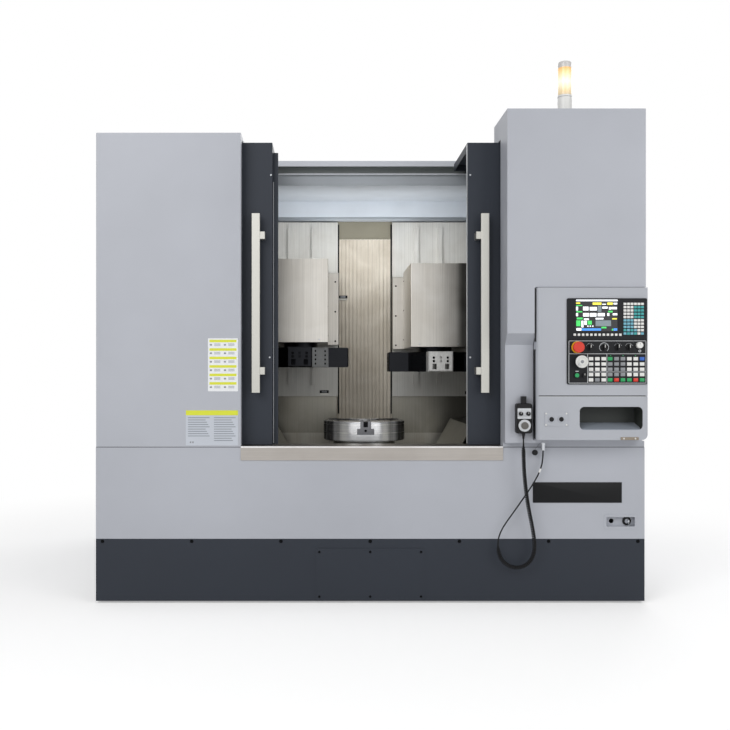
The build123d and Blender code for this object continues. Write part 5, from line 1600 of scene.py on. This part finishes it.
@dataclass
class ChamberTrim:
    """Screws on the heads, the valance's lip, dark strips as painted shade in the gaps at the
    column cover's edges, and small pulls in the chamber.
    """

    heads: tuple[tuple[str, float], ...] = (("left", -0.400), ("right", 0.450))
    slide_face: float = APRON_Y + 1.130
    cover_face: float = APRON_Y + 0.600
    cover_middle: float = APRON_Y + 1.100
    shield_face: float = APRON_Y + 1.212
    valance_face: float = APRON_Y + 1.197
    edge: float = 0.024
    heights: tuple[float, ...] = (0.028, 0.225, 0.425)
    side_heights: tuple[float, ...] = (0.060, 0.255, 0.450)
    foot_reach: float = 0.118
    side_reach: float = 0.172
    lip: Box = (-0.760, 2.2875, 0.780, 2.3120)
    gap_shade_z: tuple[float, float] = (0.98, 2.27)

    def pull(self, name: str, body: str, centre: Point) -> None:
        """A small black pull with a grey bridge and a bright lip under it.

        Args:
            name: the piece's name.
            body: what it rides on.
            centre: its middle, on the face.
        """
        x, y, z = centre
        grip = Piece(name)
        grip.card((x - 0.031, y, z - 0.008), (x + 0.031, z + 0.012), 2 * MM, 2.5 * MM, Coats.BLACK)
        grip.block((x - 0.017, y - 5 * MM, z - 0.004), (x + 0.017, y - 2 * MM, z + 0.008),
                   Coats.GREYKEY, 1 * MM)
        grip.card((x - 0.028, y, z - 0.020), (x + 0.028, z - 0.008), 2 * MM, 3 * MM,
                  Coats.ALUMINIUM)
        for side in BOTH:
            grip.screw((x + side * 0.025, y - 2.5 * MM, z + 0.002), FRONT, 3 * MM, Coats.OXIDE)
        grip.done(body)

    def build(self) -> None:
        """Makes the pieces, each on the body that carries it."""
        for side, axis in self.heads:
            low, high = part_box(f"{side}_slide")
            screws = Piece(f"{side}_head_screws")
            for x in (low[0] + self.edge, high[0] - self.edge):
                for rise in self.heights:
                    screws.screw((x, self.slide_face, low[2] + rise), FRONT, 6 * MM, Coats.OXIDE)
            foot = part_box(f"{side}_head_cover")[0][2]
            for way in BOTH:
                screws.screw((axis + way * self.foot_reach, self.cover_face, foot + 0.016), FRONT,
                             5 * MM, Coats.ZINC)
            for rise in self.side_heights:
                for way in BOTH:
                    screws.screw((axis + way * self.side_reach, self.cover_middle, foot + rise),
                                 (way, 0, 0), 5 * MM, Coats.OXIDE)
            screws.done(f"{side}_head")
        left, bottom, right, top = self.lip
        lip = Piece("valance_lip")
        lip.block((left, self.valance_face - 2.5 * MM, bottom), (right, self.valance_face, top),
                  Coats.LIP, 1 * MM)
        lip.done(ROOT)
        low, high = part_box("column_cover")
        # Dark strips at the column cover's edges: painted shade in the gaps beside it.
        edge_gap_shade = Piece("column_cover_gap_shade")
        for x in (low[0] + 6 * MM, high[0] - 11 * MM):
            edge_gap_shade.block((x, low[1] - 1 * MM, self.gap_shade_z[0]),
                        (x + 10 * MM, low[1] + 1 * MM, self.gap_shade_z[1]), Coats.RUBBER_AND_PAINTED_SHADE, 0.3 * MM)
        edge_gap_shade.done(ROOT)
        self.pull("left_shield_pull", "left_saddle", (-0.252, self.shield_face, 1.128))
        self.pull("right_shield_pull", "right_saddle", (0.735, self.shield_face, 1.122))
        self.pull("column_cover_pull", ROOT, (-0.125, low[1], 1.7735))


@dataclass
class TurretTrim:
    """Clamp screws in the tool blocks and tapped holes in the turrets' bare facets."""

    axes: tuple[tuple[str, float], ...] = (("left", -0.400), ("right", 0.450))
    middle: float = APRON_Y + 0.800
    reach: float = 0.288
    apothem: float = 0.175
    bolt_pitch: float = 0.042
    bolt_rises: tuple[float, ...] = (0.0635, 0.0845)
    hole_rises: tuple[float, ...] = (0.022, 0.048, 0.074, 0.100)

    def build(self) -> None:
        """Makes the pieces, which turn with the turrets."""
        for side, axis in self.axes:
            hub = Vector((axis, self.middle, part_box(f"{side}_tool_blocks")[0][2]))
            trim = Piece(f"{side}_turret_screws")
            for quarter in range(4):
                turn = Matrix.Rotation(quarter * math.pi / 2, 3, "Z")
                out, across = turn @ Vector(FRONT), turn @ Vector((1, 0, 0))
                slant, along = (out + across).normalized(), (across - out).normalized()
                for column in BOTH:
                    for rise in self.bolt_rises:
                        trim.screw(hub + out * self.reach + across * column * self.bolt_pitch
                                   + Vector((0, 0, rise)), out, 7.6 * MM, Coats.OXIDE)
                for column in BOTH:
                    for rise in self.hole_rises:
                        place = hub + slant * self.apothem + along * column * self.bolt_pitch
                        trim.turned([(7, 0), (7, 0.6), (5, 0.8), (4.4, 0.2)],
                                    place + Vector((0, 0, rise)), slant, Coats.OXIDE, 12)
            trim.done(f"{side}_turret")


@dataclass
class BeaconTrim:
    """Fine dark joints round the beacon's foot."""

    middle: tuple[float, float] = (1.058, APRON_Y - 0.020)
    heights: tuple[float, ...] = (2.6840, 2.7555)

    def build(self) -> None:
        """Makes the rings."""
        rings = Piece("beacon_rings")
        for z in self.heights:
            rings.turned([(38.1, 0), (38.5, 0.6), (38.5, 2), (38.1, 2.6)], (*self.middle, z), UP,
                         Coats.GREYKEY, 36)
        rings.done(ROOT)


@dataclass
class JawTrim:
    """The draw key and its screw in the outer end of each jaw."""

    axis: Point = (0.0, APRON_Y + 0.800, 0.0)
    reach: float = 0.243
    key: tuple[float, float, float] = (0.0135, 0.928, 0.961)
    screw_z: float = 0.906

    def build(self) -> None:
        """Makes the pieces, which slide with the jaws."""
        half, low, high = self.key
        hub = Vector(self.axis)
        for n in range(3):
            turn = Matrix.Rotation(n * 2 * math.pi / 3, 3, "Z")
            out, across = turn @ Vector(FRONT), turn @ Vector((1, 0, 0))
            trim = Piece(f"jaw_{n + 1}_key")
            trim.hull([hub + out * (self.reach + depth) + across * side * half + Vector((0, 0, z))
                       for depth in (-1 * MM, 1.5 * MM) for side in BOTH for z in (low, high)],
                      Coats.OXIDE)
            trim.screw(hub + out * self.reach + Vector((0, 0, self.screw_z)), out, 8 * MM,
                       Coats.OXIDE)
            trim.done(f"jaw_{n + 1}")


@dataclass
class RearTrim:
    """Louvre hoods and panel screws on the rear cover."""

    columns: int = 3
    rows: int = 10
    pitch: tuple[float, float] = (0.380, 0.048)
    hood: tuple[float, float] = (0.125, 0.013)
    middle_z: float = 2.050
    stands: float = 0.009
    screw_rows: int = 6
    margin: tuple[float, float] = (0.025, 0.030)

    def build(self) -> None:
        """Makes the pieces."""
        low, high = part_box("rear_cover")
        back = high[1]
        half, rise = self.hood
        section = ((half, 0.0, 0.0), (half, 0.0, 4 * MM), (half - 6 * MM, self.stands, 11 * MM),
                   (half - 6 * MM, self.stands - 1 * MM, 12 * MM))
        hoods = Piece("louvre_hoods")
        for column in range(self.columns):
            x = (column - (self.columns - 1) / 2) * self.pitch[0]
            for row in range(self.rows):
                top = self.middle_z + (row - (self.rows - 1) / 2) * self.pitch[1] + rise
                hoods.hull([(x + side * wide, back + out, top - drop) for side in BOTH
                            for wide, out, drop in section], Coats.GREY)
        hoods.done(ROOT)
        screws = Piece("rear_cover_screws")
        side, end = self.margin
        for n in range(self.screw_rows):
            z = low[2] + end + n * (high[2] - low[2] - 2 * end) / (self.screw_rows - 1)
            for x in (low[0] + side, high[0] - side):
                screws.screw((x, back, z), REAR, 7 * MM, Coats.OXIDE)
        screws.done(ROOT)


class Dressing:
    """Which finish each CAD node wears."""

    WEARS: dict[Finish, tuple[str, ...]] = {
        Coats.GREY: ("left_cabinet", "right_cabinet", "lower_guard", "roof_cover", "rear_cover",
                     "lock_box"),
        Coats.GREY_PAINTED_TRAY_SHADE: ("pendant_housing",),
        Coats.GREY_PAINTED_RAIL_SHADE: ("header_rail",),
        Coats.CHARCOAL: ("plinth_skirt", "service_hatch", "left_door", "right_door"),
        Coats.LINER: ("chamber_liners",),
        Coats.ENAMEL: ("base_casting", "column_casting"),
        Coats.STAINLESS: ("left_saddle", "right_saddle"),
        Coats.CHUTE: ("chip_tray",),
        Coats.WARM: ("column_cover",),
        Coats.HEAD: ("left_head_cover", "left_slide", "right_slide"),
        Coats.EDGEHEAD: ("right_head_cover",),
        Coats.SILL: ("sill",),
        Coats.CHUCK: ("chuck_body",),
        Coats.SPINDLE: ("spindle_shaft", "spindle_housing"),
        Coats.JAW: ("jaw_1", "jaw_2", "jaw_3"),
        Coats.BLACKED: ("right_turret", "left_tool_blocks"),
        Coats.FRONTBLOCK: ("right_tool_blocks",),
        Coats.SIDEFACET: ("left_turret",),
        Coats.RAIL: ("cross_rails",),
        Coats.ALUMINIUM: ("left_door_handle", "right_door_handle"),
        Coats.ZINC: ("levelling_feet", "cord_connector", "lock_key"),
        Coats.GLASS: ("left_door_window", "right_door_window"),
        Coats.BLACK: ("handheld_body", "selector_1", "selector_2", "selector_3", "selector_4",
                      "panel_knob", "handheld_axis_knob", "handheld_step_knob"),
        Coats.PANEL: ("control_panel",),
        Coats.WHITE: ("override_knob", "handwheel", "beacon_base"),
        Coats.SILVER: ("handheld_dial",),
        Coats.RED: ("emergency_stop",),
        Coats.GREEN: ("start_button",),
        Coats.LENS: ("beacon_lens",),
        Coats.RUBBER_AND_PAINTED_SHADE: ("cord_lead", "curly_cord"),
    }

    def build(self) -> None:
        """Dresses every node and names any that was left plain."""
        bare = set(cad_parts)
        for finish, names in self.WEARS.items():
            for name in names:
                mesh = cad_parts[name].data
                mesh.materials.clear()
                mesh.materials.append(finish.material())
                bare.discard(name)
            LOG.info("%s on %d nodes", finish.name, len(names))
        if bare:
            LOG.warning("nodes with no finish: %s", sorted(bare))


def main() -> None:
    """Builds the looks of the machine in order."""
    logging.basicConfig(level=logging.INFO, format="%(message)s")
    assemblies = (Studio(), HandheldCord(), ControlPanel(), PendantTrim(), Handheld(), Placards(),
                  GuardTrim(), DoorTrim(), ChamberTrim(), TurretTrim(), JawTrim(), BeaconTrim(),
                  RearTrim(), Dressing())
    for assembly in assemblies:
        LOG.info("building %s", type(assembly).__name__)
        assembly.build()


if __name__ == "__main__":
    main()
